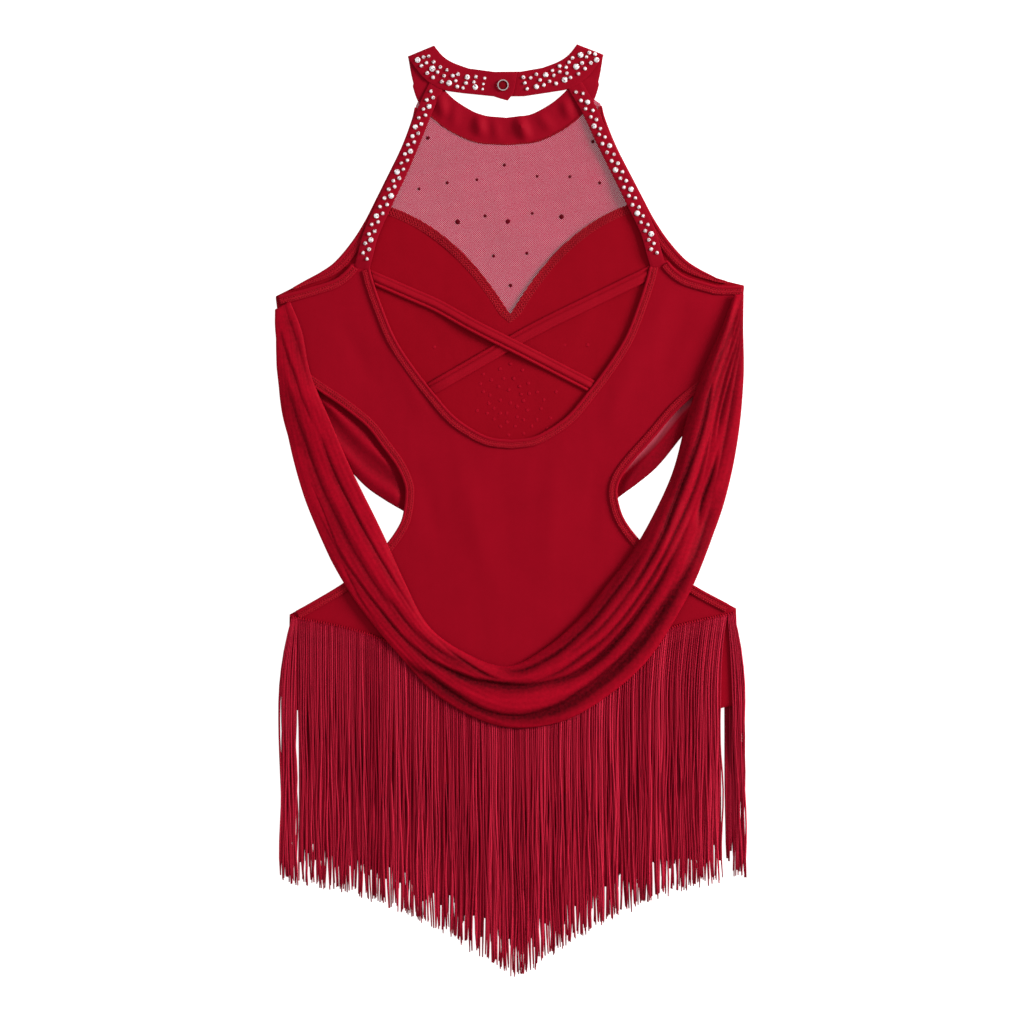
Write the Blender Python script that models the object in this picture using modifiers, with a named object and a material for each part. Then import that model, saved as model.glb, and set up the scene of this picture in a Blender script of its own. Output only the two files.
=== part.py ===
# Latin dance leotard, laid flat on its front with its back up.
# X runs across the garment, Y runs from the hem up to the collar, Z is up from the table.

import math

import bmesh
import bpy
import numpy as np

MM = 0.001

# Cloth walls and the gap at every seam, in millimetres
CLOTH = 1.2
DRAPE = 1.5
TRIM = 1.0
SEAM = 0.3
EDGE_GAP = 0.4

# Undersides of the layers, from the table up
FRONT_Z = CLOTH + SEAM
BACK_Z = FRONT_Z + CLOTH + SEAM
ON_BACK_Z = BACK_Z + CLOTH + SEAM
SWAG_Z = ON_BACK_Z + TRIM + SEAM + 0.2
HALF_WALL = CLOTH / 2

# Widths of the narrow pieces
BINDING = 6.0
STRAP = 10.5
CROSS_STRAP = 8.5
TAPE = 6.0
LAP = 5.0

# Half outlines, from the middle outward or from the top down: across, up
SCOOP = ((0, 47), (15, 49), (28, 55.5), (40, 64.5), (52, 78.5), (65.5, 96), (79, 117), (88.5, 140.5),
         (94, 157), (97, 169.5))
BACK_ARMHOLE = ((108.5, 169.5), (113, 164), (121.5, 158), (137.5, 153), (150.5, 149.5), (161, 147))
FRONT_ARMHOLE = ((62, 283.5), (66.5, 267), (74, 248), (87.5, 220.5), (99, 198.5), (108, 184.5),
                 (119.5, 171), (138, 159), (161, 147.5))
SIDE = ((161, 145.5), (158, 119.5), (155.5, 98))
CUTOUT_RIGHT = ((155.5, 98), (141, 88), (124, 75), (112.5, 64.5), (97, 46.5), (85, 33.5), (77.5, 24),
                (73.5, 16.5), (72.5, 8.5), (75, -3), (79.5, -12), (88, -23), (103, -38.5),
                (124.5, -54), (153.5, -70))
CUTOUT_LEFT = ((155.5, 98), (142, 89), (129, 80), (116, 71), (99, 57), (88.5, 43), (79.5, 30.5),
               (74, 18.5), (73, 9.5), (75, -4.5), (79, -13.5), (87.5, -25), (101, -38), (116.5, -50.5),
               (139.5, -64), (153.5, -71.5))
LEG = ((155.5, -136.5), (141, -139), (117, -148), (82.5, -167.5), (48, -188), (26, -200.5),
       (18, -207), (0, -208.5))
SWEETHEART = ((0, 133.5), (11.5, 151), (22.5, 165.5), (34.5, 178.5), (48, 190), (62.5, 199.5),
              (80, 207.5), (93.5, 209.5))
TAPE_LINE = ((0, -140), (14, -131), (27.5, -122), (41, -113), (59, -103), (76.5, -94.5), (96, -86),
             (116, -80), (134, -76), (152, -72.5))
HEM = ((0, -320.5), (14, -312), (27.5, -303), (41, -294), (59, -283.5), (76.5, -275.5), (96, -267),
       (116, -261), (141, -255.5), (164, -252))

# The right underarm corner is turned up a little as it lies: where that starts and ends, and by how much
CORNER_START = 142.0
CORNER_END = 161.0
CORNER_LIFT = 4.5

# Collar band, half of the ring: neck edge across, up, then body edge across, up
FRONT_COLLAR = ((0, 269, 0, 251), (16.5, 271, 21, 253), (29.5, 277.5, 39.5, 261.5),
                (38, 284, 52, 271.5), (43, 290, 60, 281.5), (46.5, 302, 64.5, 296.5),
                (48.5, 318, 67, 310.5))
BACK_COLLAR = ((48.5, 318, 67, 310.5), (44.5, 313, 62, 303.5), (40.5, 309.5, 54.5, 295),
               (35, 306.5, 43.5, 288.5), (25.5, 303, 30, 286))
COLLAR_SHIFT = -1.5
COLLAR_FOLD = 0.7

# Its ends at centre back, the left one lapped over the right
OVER_END = ((-12, 300.3, -12, 283.2), (5.5, 299.5, 4, 280.5))
UNDER_END = ((9, 300.5, 11, 283.5), (-8, 300.5, -8, 283.5))

# Back straps, centre line: right across, left across, up, underside
STRAP_LINE = ((45.5, 49, 292, 3.0), (48, 51.5, 287, 3.0), (55.5, 57.5, 274, 3.0),
              (64, 65, 255.5, 3.0), (75, 75, 232.5, 3.0), (81.5, 81.5, 219, 4.5),
              (86.5, 86.5, 208.5, 4.5), (95, 95, 190, 4.5), (101.5, 101.5, 167, 4.5))

# Front armhole binding: across and up on the edge, width, underside
FRONT_BINDING = ((63.3, 279, 7, 1.5), (66.5, 267, 7, 1.5), (74, 248, 7, 1.5), (85.5, 225, 7, 1.5),
                 (92, 212, 7, 3.0), (99, 198.5, 7, 3.0), (108, 184.5, 7, 3.0), (119.5, 171, 7, 3.0),
                 (129, 164, 5.5, 3.0), (140, 158, 3, 3.0), (149, 153, 1.2, 3.0))

# Straps that cross in the scoop, centre line: across, up, underside
CROSS_OVER = ((-92, 158.5, 3.0), (-53.5, 141.5, 3.0), (-26, 126, 4.5), (5, 110, 4.5), (28, 98, 3.0),
              (54.5, 84, 3.0))
CROSS_UNDER = ((95, 160.5, 3.0), (57, 142.5, 3.0), (10, 119.5, 3.0), (-50, 85.5, 3.0))

# Back swag, from the left side seam round to the right: outer across, up, inner across, up
BACK_SWAG = ((-161.5, 138, -151, 143.5), (-162, 119.5, -143, 122.5), (-159.5, 88.5, -137.5, 94),
             (-157, 57.5, -124.5, 62), (-145.5, 16, -109.5, 26.5), (-128, -25, -91, -11.5),
             (-106.5, -64.5, -76, -45.5), (-79, -99.5, -59.5, -78), (-50.5, -129.5, -37, -96.5),
             (-9.5, -149.5, -5.5, -108.5), (32, -147, 22, -96), (66.5, -128, 46, -75.5),
             (94, -103, 63.5, -54.5), (117.5, -66.5, 81, -32.5), (134, -32, 97.5, -4.5),
             (146.5, 2.5, 111, 25), (156, 47, 121, 62), (160, 88.5, 131.5, 92.5),
             (160, 122.5, 145, 122.5), (160.5, 145.5, 154, 145.5))
SWAG_SECTIONS = 38

# Folds of the back swag, outer to inner, as shares of its width: place along it, then the shares
SWAG_FOLDS = ((0.0, 0.2, 0.2, 0.2, 0.2, 0.2), (0.25, 0.30, 0.17, 0.21, 0.14, 0.18),
              (0.47, 0.24, 0.44, 0.11, 0.11, 0.10), (0.72, 0.20, 0.28, 0.16, 0.20, 0.16),
              (1.0, 0.2, 0.2, 0.2, 0.2, 0.2))
FOLD_PROFILE = ((0.0, 0.0), (0.2, 0.75), (0.5, 1.0), (0.8, 0.75))
FOLD_RISE = 0.2
FOLD_LIMIT = 3.4

# How far the swag sinks where no body cloth is under it
SINK_START = 10.0
SINK_SLOPE = 0.15
SINK_LIMIT = 4.6

# Front swag under the body: across, upper edge, lower edge
FRONT_SWAG = ((0, 21, -28.5), (20.5, 24.5, -26.5), (41, 30.5, -19), (59, 41, -9), (73.5, 52, 2.5),
              (87, 64, 11.5), (101, 79, 22.5), (117, 97, 41), (130, 111, 56), (141, 122.5, 69),
              (151, 132, 89), (159.5, 140, 112.5))
FRONT_TILT = ((0, 0), (117, 7), (159.5, 0))
FRONT_FOLDS = 4
FRONT_FOLD_START = 12.0
FRONT_RISE = 0.8

# Fringes: strands, tape underside, strand underside at the hem, strand length cut short by
BACK_FRINGE = (100, ON_BACK_Z, FRONT_Z, 0)
FRONT_FRINGE = (76, 0.2, 0.2, 27)
STRAND_SHARE = 0.62
ROOT_HALF = 152.0
HEM_HALF = 161.0
PART_ROOT = 139.5
PART_NEAR = 143.0
PART_FAR = 156.5
PART_END = 163.5
LEAN_LENGTH = 60.0
LEG_CLEAR = 4.0
LEG_DROP = 30.0
TIP_UNEVEN = 1.5
TIP_TURN = 2.3

# Press stud on the overlapping end: across, up, radius to the middle of its ring, wire radius
SNAP = (-3.5, 291, 3.5, 0.6)
SNAP_Z = BACK_Z + CLOTH + SEAM

CRIMSON = (0.30, 0.003, 0.012)
DARK_CRIMSON = (0.25, 0.003, 0.010)
NET_RED = (0.33, 0.02, 0.05)
FRINGE_RED = (0.24, 0.006, 0.016)
STEEL = (0.62, 0.60, 0.58)


# Curves and edges

def smooth_line(points, steps=3):
    """Catmull-Rom curve through rows of numbers, with steps points to each stretch."""
    rows = np.array(points, dtype=float)
    ends = np.vstack([2 * rows[0] - rows[1], rows, 2 * rows[-1] - rows[-2]])
    line = []
    for before, start, end, after in zip(ends, ends[1:], ends[2:], ends[3:]):
        for step in range(steps):
            t = step / steps
            line.append(0.5 * (2 * start + (end - before) * t
                               + (2 * before - 5 * start + 4 * end - after) * t ** 2
                               + (3 * start - before - 3 * end + after) * t ** 3))
    line.append(rows[-1])
    return np.array(line)


def beside(line, distance):
    """The line moved sideways, to the left of its own direction, by a distance or one a point."""
    line = np.array(line, dtype=float)
    way = np.gradient(line, axis=0)
    way /= np.linalg.norm(way, axis=1)[:, None]
    left = np.stack([-way[:, 1], way[:, 0]], axis=1)
    return line + left * np.reshape(distance, (-1, 1))


def mirrored(line):
    """The same line on the other side of the middle."""
    other = np.array(line, dtype=float)
    other[:, 0] *= -1
    return other


def on_side(points, side):
    """A half outline on the right, 1, or the left, -1, of the middle."""
    line = smooth_line(points)
    if side > 0:
        share = np.clip((line[:, 0] - CORNER_START) / (CORNER_END - CORNER_START), 0, 1)
        line[:, 1] += CORNER_LIFT * share * (line[:, 1] > CUTOUT_RIGHT[0][1] + 1)
    line[:, 0] *= side
    return line


def read(points, across):
    """The height on the page of a half outline, at a distance from the middle."""
    line = smooth_line(points)
    return float(np.interp(abs(across), line[:, 0], line[:, 1]))


def meet(start, toward, edge):
    """Where the way from start through toward crosses an edge, less the seam gap."""
    way = toward - start
    for first, last in zip(edge, edge[1:]):
        along = last - first
        cross = way[0] * along[1] - way[1] * along[0]
        if abs(cross) < 1e-9:
            continue
        gap = first - start
        t = (gap[0] * along[1] - gap[1] * along[0]) / cross
        s = (gap[0] * way[1] - gap[1] * way[0]) / cross
        if t > 0 and 0 <= s <= 1:
            return start + way * (t - EDGE_GAP / np.linalg.norm(way))
    return toward


# Making solids

def material(name, colour, roughness, metallic=0.0):
    made = bpy.data.materials.new(name)
    made.use_nodes = True
    shader = made.node_tree.nodes["Principled BSDF"]
    shader.inputs["Base Color"].default_value = (*colour, 1)
    shader.inputs["Roughness"].default_value = roughness
    shader.inputs["Metallic"].default_value = metallic
    return made


def add_object(name, bm, colour, roughness=0.8, metallic=0.0):
    """One named piece, from a mesh in millimetres."""
    bmesh.ops.scale(bm, vec=(MM, MM, MM), verts=bm.verts[:])
    mesh = bpy.data.meshes.new(name)
    bm.to_mesh(mesh)
    bm.free()
    piece = bpy.data.objects.new(name, mesh)
    parts.objects.link(piece)
    mesh.materials.append(material(name, colour, roughness, metallic))
    return piece


def thicken(bm, thickness):
    """A closed wall: the sheet is its underside, and its top is the same sheet raised."""
    raised = bmesh.ops.extrude_face_region(bm, geom=bm.faces[:])["geom"]
    top = [item for item in raised if isinstance(item, bmesh.types.BMVert)]
    bmesh.ops.translate(bm, vec=(0, 0, thickness), verts=top)
    bmesh.ops.recalc_face_normals(bm, faces=bm.faces[:])


def grid(rows, columns, place):
    """A sheet of cells, with each point put where place says for its share across and along."""
    bm = bmesh.new()
    bmesh.ops.create_grid(bm, x_segments=columns, y_segments=rows, size=0.5)
    for vert in bm.verts:
        vert.co = place(vert.co.x + 0.5, vert.co.y + 0.5)
    return bm


def panel(name, right, left, underside, thickness, colour):
    """A flat cloth piece, from the halves of its outline, each from the top down."""
    outline = np.vstack([right, left[::-1]])
    bm = bmesh.new()
    corners = []
    for across, up in outline:
        if corners and math.hypot(corners[-1].co.x - across, corners[-1].co.y - up) < 0.05:
            continue
        corners.append(bm.verts.new((across, up, underside)))
    bm.faces.new(corners)
    bmesh.ops.remove_doubles(bm, verts=bm.verts[:], dist=0.05)
    thicken(bm, thickness)
    return add_object(name, bm, colour)


def ribbon(name, first, second, undersides, thickness, colour):
    """A strip between two edges, with an underside height at each section."""
    last = len(first) - 1

    def place(across, along):
        section = round(along * last)
        edge = second if across > 0.5 else first
        return (*edge[section], undersides[section])

    bm = grid(last, 1, place)
    thicken(bm, thickness)
    return add_object(name, bm, colour)


def binding(name, line, width, underside, side):
    """Trim that lies on a panel along its edge line, on the left or the right of it."""
    ribbon(name, line, beside(line, side * width), [underside] * len(line), TRIM, DARK_CRIMSON)


# The panels

def side_edge(side):
    """One edge of both bodies, from the underarm to the middle of the crotch."""
    cutout = CUTOUT_RIGHT if side > 0 else CUTOUT_LEFT
    return np.vstack([on_side(SIDE, side), on_side(cutout, side), on_side(LEG, side)])


def make_bodies():
    backs = []
    fronts = []
    for side in (1, -1):
        backs.append(np.vstack([on_side(SCOOP, side), on_side(BACK_ARMHOLE, side), side_edge(side)]))
        armhole = on_side(FRONT_ARMHOLE, side)
        under_bust = armhole[armhole[:, 1] < SWEETHEART[-1][1]]
        fronts.append(np.vstack([on_side(SWEETHEART, side), under_bust, side_edge(side)]))
    panel("back_body", *backs, BACK_Z, CLOTH, CRIMSON)
    panel("front_body", *fronts, FRONT_Z, CLOTH, CRIMSON)


def make_yoke():
    halves = []
    for side in (1, -1):
        neck = beside(on_side([row[2:] for row in FRONT_COLLAR[:5]], side), -side * EDGE_GAP)
        neck[:, 0] += COLLAR_SHIFT
        armhole = on_side(FRONT_ARMHOLE, side)
        edge = armhole[(armhole[:, 1] < neck[-1][1] - 1) & (armhole[:, 1] > SWEETHEART[-1][1] - LAP)]
        bust = on_side(SWEETHEART, side)[::-1] - (0, LAP)
        bust[0] += (side * 0.5 * LAP, -0.2 * LAP)
        halves.append(np.vstack([neck, edge, bust]))
    panel("front_yoke", *halves, 0, CLOTH, NET_RED)


# The edges and straps

def make_bindings():
    scoop = smooth_line(SCOOP)
    scoop = scoop[scoop[:, 1] < 161.5]
    whole = np.vstack([mirrored(scoop)[::-1], scoop[1:]])
    binding("binding_scoop", whole, BINDING, ON_BACK_Z, -1)
    for label, side, table in (("right", 1, CUTOUT_RIGHT), ("left", -1, CUTOUT_LEFT)):
        cutout = on_side(table, side)
        cutout = cutout[(cutout[:, 1] > -65) & (cutout[:, 1] < 94)]
        binding("binding_cutout_" + label, cutout, BINDING, ON_BACK_Z, -side)
        armhole = on_side(BACK_ARMHOLE, side)[2:-1]
        binding("binding_back_armhole_" + label, armhole, BINDING, ON_BACK_Z, -side)
        rows = on_side(FRONT_BINDING, side)
        inner = beside(rows[:, :2], -side * rows[:, 2])
        ribbon("binding_front_armhole_" + label, rows[:, :2], inner, rows[:, 3], TRIM, DARK_CRIMSON)


def make_straps():
    rows = smooth_line(STRAP_LINE)
    for label, side, column in (("right", 1, 0), ("left", -1, 1)):
        line = np.stack([side * rows[:, column], rows[:, 2]], axis=1)
        ribbon("strap_" + label, beside(line, STRAP / 2), beside(line, -STRAP / 2), rows[:, 3],
               CLOTH, CRIMSON)


def make_cross_straps():
    scoop = smooth_line(SCOOP, 6)
    edge = np.vstack([mirrored(scoop)[::-1], scoop[1:]])
    for name, table in (("cross_strap_over", CROSS_OVER), ("cross_strap_under", CROSS_UNDER)):
        rows = smooth_line(table)
        sides = []
        for half_width in (CROSS_STRAP / 2, -CROSS_STRAP / 2):
            line = beside(rows[:, :2], half_width)
            line[0] = meet(line[3], line[0], edge)
            line[-1] = meet(line[-4], line[-1], edge)
            line[1:3] = line[0] + (line[3] - line[0]) * np.array([[1 / 3], [2 / 3]])
            line[-3:-1] = line[-1] + (line[-4] - line[-1]) * np.array([[2 / 3], [1 / 3]])
            sides.append(line)
        ribbon(name, sides[0], sides[1], rows[:, 2], CLOTH, CRIMSON)


# The collar, one band folded flat at both sides, its ends lapped at centre back

def collar_half(rows, side, height):
    """Sections of the band on one side, from a table of its two edges, with steps between."""
    line = smooth_line(rows, 2) * (side, 1, side, 1) + (COLLAR_SHIFT, 0, COLLAR_SHIFT, 0)
    return [(*row, height) for row in line]


def collar_turn(side, height):
    """The section where the band turns over, just past its last flat one."""
    neck_x, neck_y, body_x, body_y = FRONT_COLLAR[-1]
    length = math.hypot(body_x - neck_x, body_y - neck_y)
    out_x = (neck_y - body_y) / length * COLLAR_FOLD
    out_y = (body_x - neck_x) / length * COLLAR_FOLD
    turned = (neck_x + out_x, neck_y + out_y, body_x + out_x, body_y + out_y)
    return [(side * turned[0] + COLLAR_SHIFT, turned[1], side * turned[2] + COLLAR_SHIFT, turned[3],
             height)]


def make_collar():
    low = HALF_WALL
    high = FRONT_Z + HALF_WALL
    top = BACK_Z + HALF_WALL
    sections = [(*row, top) for row in OVER_END[::-1]]
    sections += collar_half(BACK_COLLAR, -1, high)[::-1]
    sections += collar_turn(-1, (low + high) / 2)
    sections += collar_half(FRONT_COLLAR, -1, low)[::-1]
    sections += collar_half(FRONT_COLLAR, 1, low)[1:]
    sections += collar_turn(1, (low + high) / 2)
    sections += collar_half(BACK_COLLAR, 1, high)
    sections += [(*row, high) for row in UNDER_END]
    last = len(sections) - 1

    def place(across, along):
        row = sections[round(along * last)]
        edge = row[2:4] if across > 0.5 else row[0:2]
        return (*edge, row[4])

    collar = add_object("collar", grid(last, 1, place), CRIMSON)
    wall = collar.modifiers.new("wall", "SOLIDIFY")
    wall.thickness = CLOTH * MM
    wall.offset = 0


def make_snap():
    across, up, radius, wire = SNAP
    bpy.ops.mesh.primitive_torus_add(major_segments=20, minor_segments=6, major_radius=radius * MM,
                                     minor_radius=wire * MM)
    ring = bpy.context.active_object
    ring.name = "snap"
    ring.location = (across * MM, up * MM, (SNAP_Z + wire) * MM)
    ring.data.materials.append(material("snap", STEEL, 0.25, 1.0))
    for owner in ring.users_collection:
        owner.objects.unlink(ring)
    parts.objects.link(ring)
    ring.data.transform(ring.matrix_basis)
    ring.matrix_basis.identity()


# The draped scarves

def past_cutout(across, up):
    """How far a point lies outside the bodies' side edge, or 0 over the cloth."""
    edge = np.vstack([smooth_line(SIDE), smooth_line(CUTOUT_RIGHT if across > 0 else CUTOUT_LEFT)])
    order = edge[:, 1].argsort()
    if abs(across) < np.interp(up, edge[order, 1], edge[order, 0]):
        return 0.0
    return float(np.hypot(edge[:, 0] - abs(across), edge[:, 1] - up).min())


def fold_shares(along):
    table = np.array(SWAG_FOLDS)
    shares = [np.interp(along, table[:, 0], table[:, column]) for column in range(1, table.shape[1])]
    return np.array(shares) / sum(shares)


def make_back_swag():
    rows = np.array(BACK_SWAG)
    line = smooth_line(rows, 6)
    places = np.linspace(0, 1, len(line))
    count = len(SWAG_FOLDS[0]) - 1
    cells = count * len(FOLD_PROFILE)

    def place(across, along):
        row = [np.interp(along, places, line[:, column]) for column in range(4)]
        outer = np.array(row[:2])
        inner = np.array(row[2:])
        step = round(across * cells)
        fold, part = divmod(step, len(FOLD_PROFILE))
        shares = fold_shares(along)
        share, rise = FOLD_PROFILE[part]
        wide = shares[fold] if fold < count else 0
        point = outer + (inner - outer) * (shares[:fold].sum() + share * wide)
        width = np.linalg.norm(inner - outer) * wide
        lift = min(FOLD_RISE * width, FOLD_LIMIT) * rise
        sink = min(max(past_cutout(*point) - SINK_START, 0) * SINK_SLOPE, SINK_LIMIT)
        return (*point, SWAG_Z - sink + lift)

    bm = grid(SWAG_SECTIONS, cells, place)
    thicken(bm, DRAPE)
    add_object("back_swag", bm, DARK_CRIMSON)


def make_front_swag():
    line = np.array(FRONT_SWAG)
    whole = np.vstack([line[::-1] * (-1, 1, 1), line[1:]])
    last = len(whole) - 1
    cells = FRONT_FOLDS * 2

    def place(across, along):
        x, upper, lower = whole[round(along * last)]
        tilt = math.copysign(np.interp(abs(x), *zip(*FRONT_TILT)), x)
        y = lower + (upper - lower) * across + tilt
        ridge = round(across * cells) % 2
        room = min(max(past_cutout(x, y) - FRONT_FOLD_START, 0) * SINK_SLOPE, FRONT_RISE)
        return (x, y, ridge * room)

    bm = grid(last, cells, place)
    thicken(bm, CLOTH)
    add_object("front_swag", bm, DARK_CRIMSON)


# The fringes, a comb of strands with one tape for its back

def hem_place(root):
    """Where a strand's end lies across, with the parting near the right side seam."""
    if root < PART_ROOT:
        return root * (PART_NEAR / PART_ROOT if root > 0 else HEM_HALF / ROOT_HALF)
    share = (root - PART_ROOT) / (ROOT_HALF - PART_ROOT)
    return PART_FAR + share * (PART_END - PART_FAR)


def strand_rows(root, strand, tape_z, hem_z, cut):
    """The points of one edge of a strand, from the tape to its tip."""
    top = read(TAPE_LINE, root) - TAPE
    tip = read(HEM, hem_place(root)) + cut + TIP_UNEVEN * math.sin(TIP_TURN * strand)
    leg = min(read(tuple(reversed(LEG)), min(abs(root), LEG[0][0])), top - LEG_CLEAR)
    stops = ((top, tape_z), (leg - LEG_CLEAR, tape_z), (leg - LEG_DROP, hem_z), (tip, hem_z))
    rows = []
    for up, low in stops:
        lean = min((top - up) / LEAN_LENGTH, 1)
        rows.append((root + (hem_place(root) - root) * lean, up, low))
    return rows


def make_fringe(name, strands, tape_z, hem_z, cut):
    pitch = 2 * ROOT_HALF / (strands - 1 + STRAND_SHARE)
    columns = 2 * strands - 1
    bm = bmesh.new()
    bmesh.ops.create_grid(bm, x_segments=columns, y_segments=1, size=0.5)
    column = bm.verts.layers.int.new("column")

    def root_of(index):
        strand, edge = divmod(index, 2)
        return -ROOT_HALF + pitch * (strand + edge * STRAND_SHARE)

    for vert in bm.verts:
        vert[column] = round((vert.co.x + 0.5) * columns)
        root = root_of(vert[column])
        down = TAPE if vert.co.y < 0 else 0
        vert.co = (root, read(TAPE_LINE, root) - down, tape_z)
    lower = [edge for edge in bm.edges if is_strand_root(edge, column)]
    for step in (1, 2, 3):
        grown = bmesh.ops.extrude_edge_only(bm, edges=lower)["geom"]
        for item in grown:
            if isinstance(item, bmesh.types.BMVert):
                strand = item[column] // 2
                item.co = strand_rows(root_of(item[column]), strand, tape_z, hem_z, cut)[step]
        lower = [item for item in grown if isinstance(item, bmesh.types.BMEdge)]
        lower = [edge for edge in lower if len(edge.link_faces) == 1 and same_level(edge)]
    thicken(bm, TRIM)
    add_object(name, bm, FRINGE_RED, 0.5)


def is_strand_root(edge, column):
    """True for the tape's lower edge where a strand starts, not for the gaps between."""
    first, last = sorted(vert[column] for vert in edge.verts)
    low = all(abs(vert.co.y - read(TAPE_LINE, vert.co.x) + TAPE) < 0.01 for vert in edge.verts)
    return low and first % 2 == 0 and last == first + 1


def same_level(edge):
    """True for an edge that runs across a strand."""
    run = edge.verts[0].co - edge.verts[1].co
    return abs(run.x) > abs(run.y)


# The build

for old in list(bpy.data.objects):
    bpy.data.objects.remove(old)
parts = bpy.data.collections.new("latin_dance_leotard")
bpy.context.scene.collection.children.link(parts)

make_bodies()
make_yoke()
make_bindings()
make_straps()
make_cross_straps()
make_collar()
make_snap()
make_back_swag()
make_front_swag()
make_fringe("back_fringe", *BACK_FRINGE)
make_fringe("front_fringe", *FRONT_FRINGE)

# The origin goes under the middle of the garment, on the table
corners = np.array([vert.co for piece in parts.objects for vert in piece.data.vertices])
middle = (corners.min(axis=0) + corners.max(axis=0)) / 2
for piece in parts.objects:
    for vert in piece.data.vertices:
        vert.co.x -= middle[0]
        vert.co.y -= middle[1]
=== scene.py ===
# Latin dance leotard, laid flat on its front with its back up.
# X runs across the garment, Y runs from the hem up to the collar, Z is up from the table.

import math
import random

import bmesh
import bpy
import numpy as np
from mathutils import Matrix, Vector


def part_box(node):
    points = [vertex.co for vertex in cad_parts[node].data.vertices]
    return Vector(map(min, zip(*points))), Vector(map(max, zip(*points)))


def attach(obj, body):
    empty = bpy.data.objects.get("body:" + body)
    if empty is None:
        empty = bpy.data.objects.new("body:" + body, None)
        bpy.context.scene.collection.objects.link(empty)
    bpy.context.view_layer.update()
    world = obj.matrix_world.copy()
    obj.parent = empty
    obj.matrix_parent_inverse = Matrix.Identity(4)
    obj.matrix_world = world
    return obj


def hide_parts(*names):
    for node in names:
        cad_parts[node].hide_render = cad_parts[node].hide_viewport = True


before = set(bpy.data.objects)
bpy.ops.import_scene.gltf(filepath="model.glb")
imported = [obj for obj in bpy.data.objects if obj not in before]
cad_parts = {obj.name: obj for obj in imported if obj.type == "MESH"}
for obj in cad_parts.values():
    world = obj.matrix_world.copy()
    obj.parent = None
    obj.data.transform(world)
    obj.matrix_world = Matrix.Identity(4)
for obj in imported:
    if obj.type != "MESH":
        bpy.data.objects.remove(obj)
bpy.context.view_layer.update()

# Front body
# One panel of fine stretch jersey from the sweetheart top to the crotch, lying under the back.
# It is cut from the flat piece, eased into soft creases, and overlocked along its top edge.

MM = 0.001
STUD = np.array((-3.5, 291.0))
stud_low, stud_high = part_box("snap")
SHIFT = np.array([(stud_low[axis] + stud_high[axis]) / 2 / MM for axis in (0, 1)]) - STUD

CELL = 3.0
KNIT_PITCH = 0.45
JERSEY_REDS = ((0.215, 0.0008, 0.0070), (0.285, 0.0014, 0.0105))
BODICE_REDS = ((0.205, 0.0006, 0.0055), (0.275, 0.0011, 0.0085))
THREAD_REDS = ((0.20, 0.003, 0.012), (0.47, 0.014, 0.022))
FRONT_TOP = 2.85
FRONT_CREASES = ((-70, 205, -18, 150, 5, -0.22), (66, 203, 24, 158, 6, -0.2),
                 (-40, 176, -8, 132, 4, 0.2), (30, 180, 4, 140, 3.5, 0.22),
                 (-90, 172, -52, 112, 6, -0.2), (88, 176, 48, 108, 6, -0.2),
                 (-60, 150, -30, 96, 5, 0.18), (58, 150, 34, 92, 5, 0.18), (-8, 118, 10, 66, 7, -0.2))
SWEETHEART = ((0, 133.5), (11.5, 151), (22.5, 165.5), (34.5, 178.5), (48, 190), (62.5, 199.5),
              (80, 207.5), (93.5, 209.5))
CORNER_START = 142.0
CORNER_END = 161.0
CORNER_LIFT = 4.5
CORNER_ABOVE = 99.0

# Overlock along the top edge, a row each: how far down, pitch, length, slant, width
OVERLOCK = ((-1.0, 1.05, 2.6, 1.15, 0.62), (-2.8, 1.05, 2.6, -0.9, 0.62), (-4.5, 1.05, 2.6, 1.0, 0.62),
            (-0.2, 1.9, 1.7, 0, 0.6), (-5.6, 1.9, 1.7, 0, 0.6))


def add_node(tree, kind, settings=(), inputs=()):
    """One shader node with its settings and its unlinked inputs."""
    made = tree.nodes.new("ShaderNode" + kind)
    for name, value in dict(settings).items():
        setattr(made, name, value)
    for name, value in dict(inputs).items():
        made.inputs[name].default_value = value
    return made


def blank_finish(name, roughness, shine=0.03, sheen=0.0, metallic=0.0):
    """A finish with its even values set, its nodes, its shader and its place in metres."""
    made = bpy.data.materials.new(name)
    made.use_nodes = True
    shader = made.node_tree.nodes["Principled BSDF"]
    shader.inputs["Roughness"].default_value = roughness
    shader.inputs["Metallic"].default_value = metallic
    shader.inputs["Specular IOR Level"].default_value = shine
    shader.inputs["Sheen Weight"].default_value = sheen
    shader.inputs["Sheen Roughness"].default_value = 0.4
    shader.inputs["Sheen Tint"].default_value = (1.0, 0.05, 0.12, 1)
    place = add_node(made.node_tree, "TexCoord").outputs["Object"]
    return made, made.node_tree, shader, place


def blend_colours(tree, dark, light, share):
    """A mix of two colours by the share that another node gives."""
    mix = add_node(tree, "Mix", {"data_type": "RGBA"})
    mix.inputs["A"].default_value = (*dark, 1)
    mix.inputs["B"].default_value = (*light, 1)
    tree.links.new(share, mix.inputs["Factor"])
    return mix.outputs["Result"]


def bands(tree, place, direction, pitch):
    """Even ribs of one pitch, in millimetres, across or up the cloth."""
    per_metre = 2 * math.pi / 20 / (pitch * MM)
    wave = add_node(tree, "TexWave", {"bands_direction": direction}, {"Scale": per_metre})
    tree.links.new(place, wave.inputs["Vector"])
    return wave.outputs["Fac"]


def patches(tree, place, scale, detail, more=()):
    """Soft random patches, so many to the metre."""
    made = add_node(tree, "TexNoise", (), {"Scale": scale, "Detail": detail, **dict(more)})
    tree.links.new(place, made.inputs["Vector"])
    return made.outputs["Fac"]


def combine(tree, operation, first, second):
    """A sum, product or other result of two values, either of them a plain number."""
    made = add_node(tree, "Math", {"operation": operation})
    for place, value in enumerate((first, second)):
        if isinstance(value, (int, float)):
            made.inputs[place].default_value = value
        else:
            tree.links.new(value, made.inputs[place])
    return made.outputs["Value"]


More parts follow.
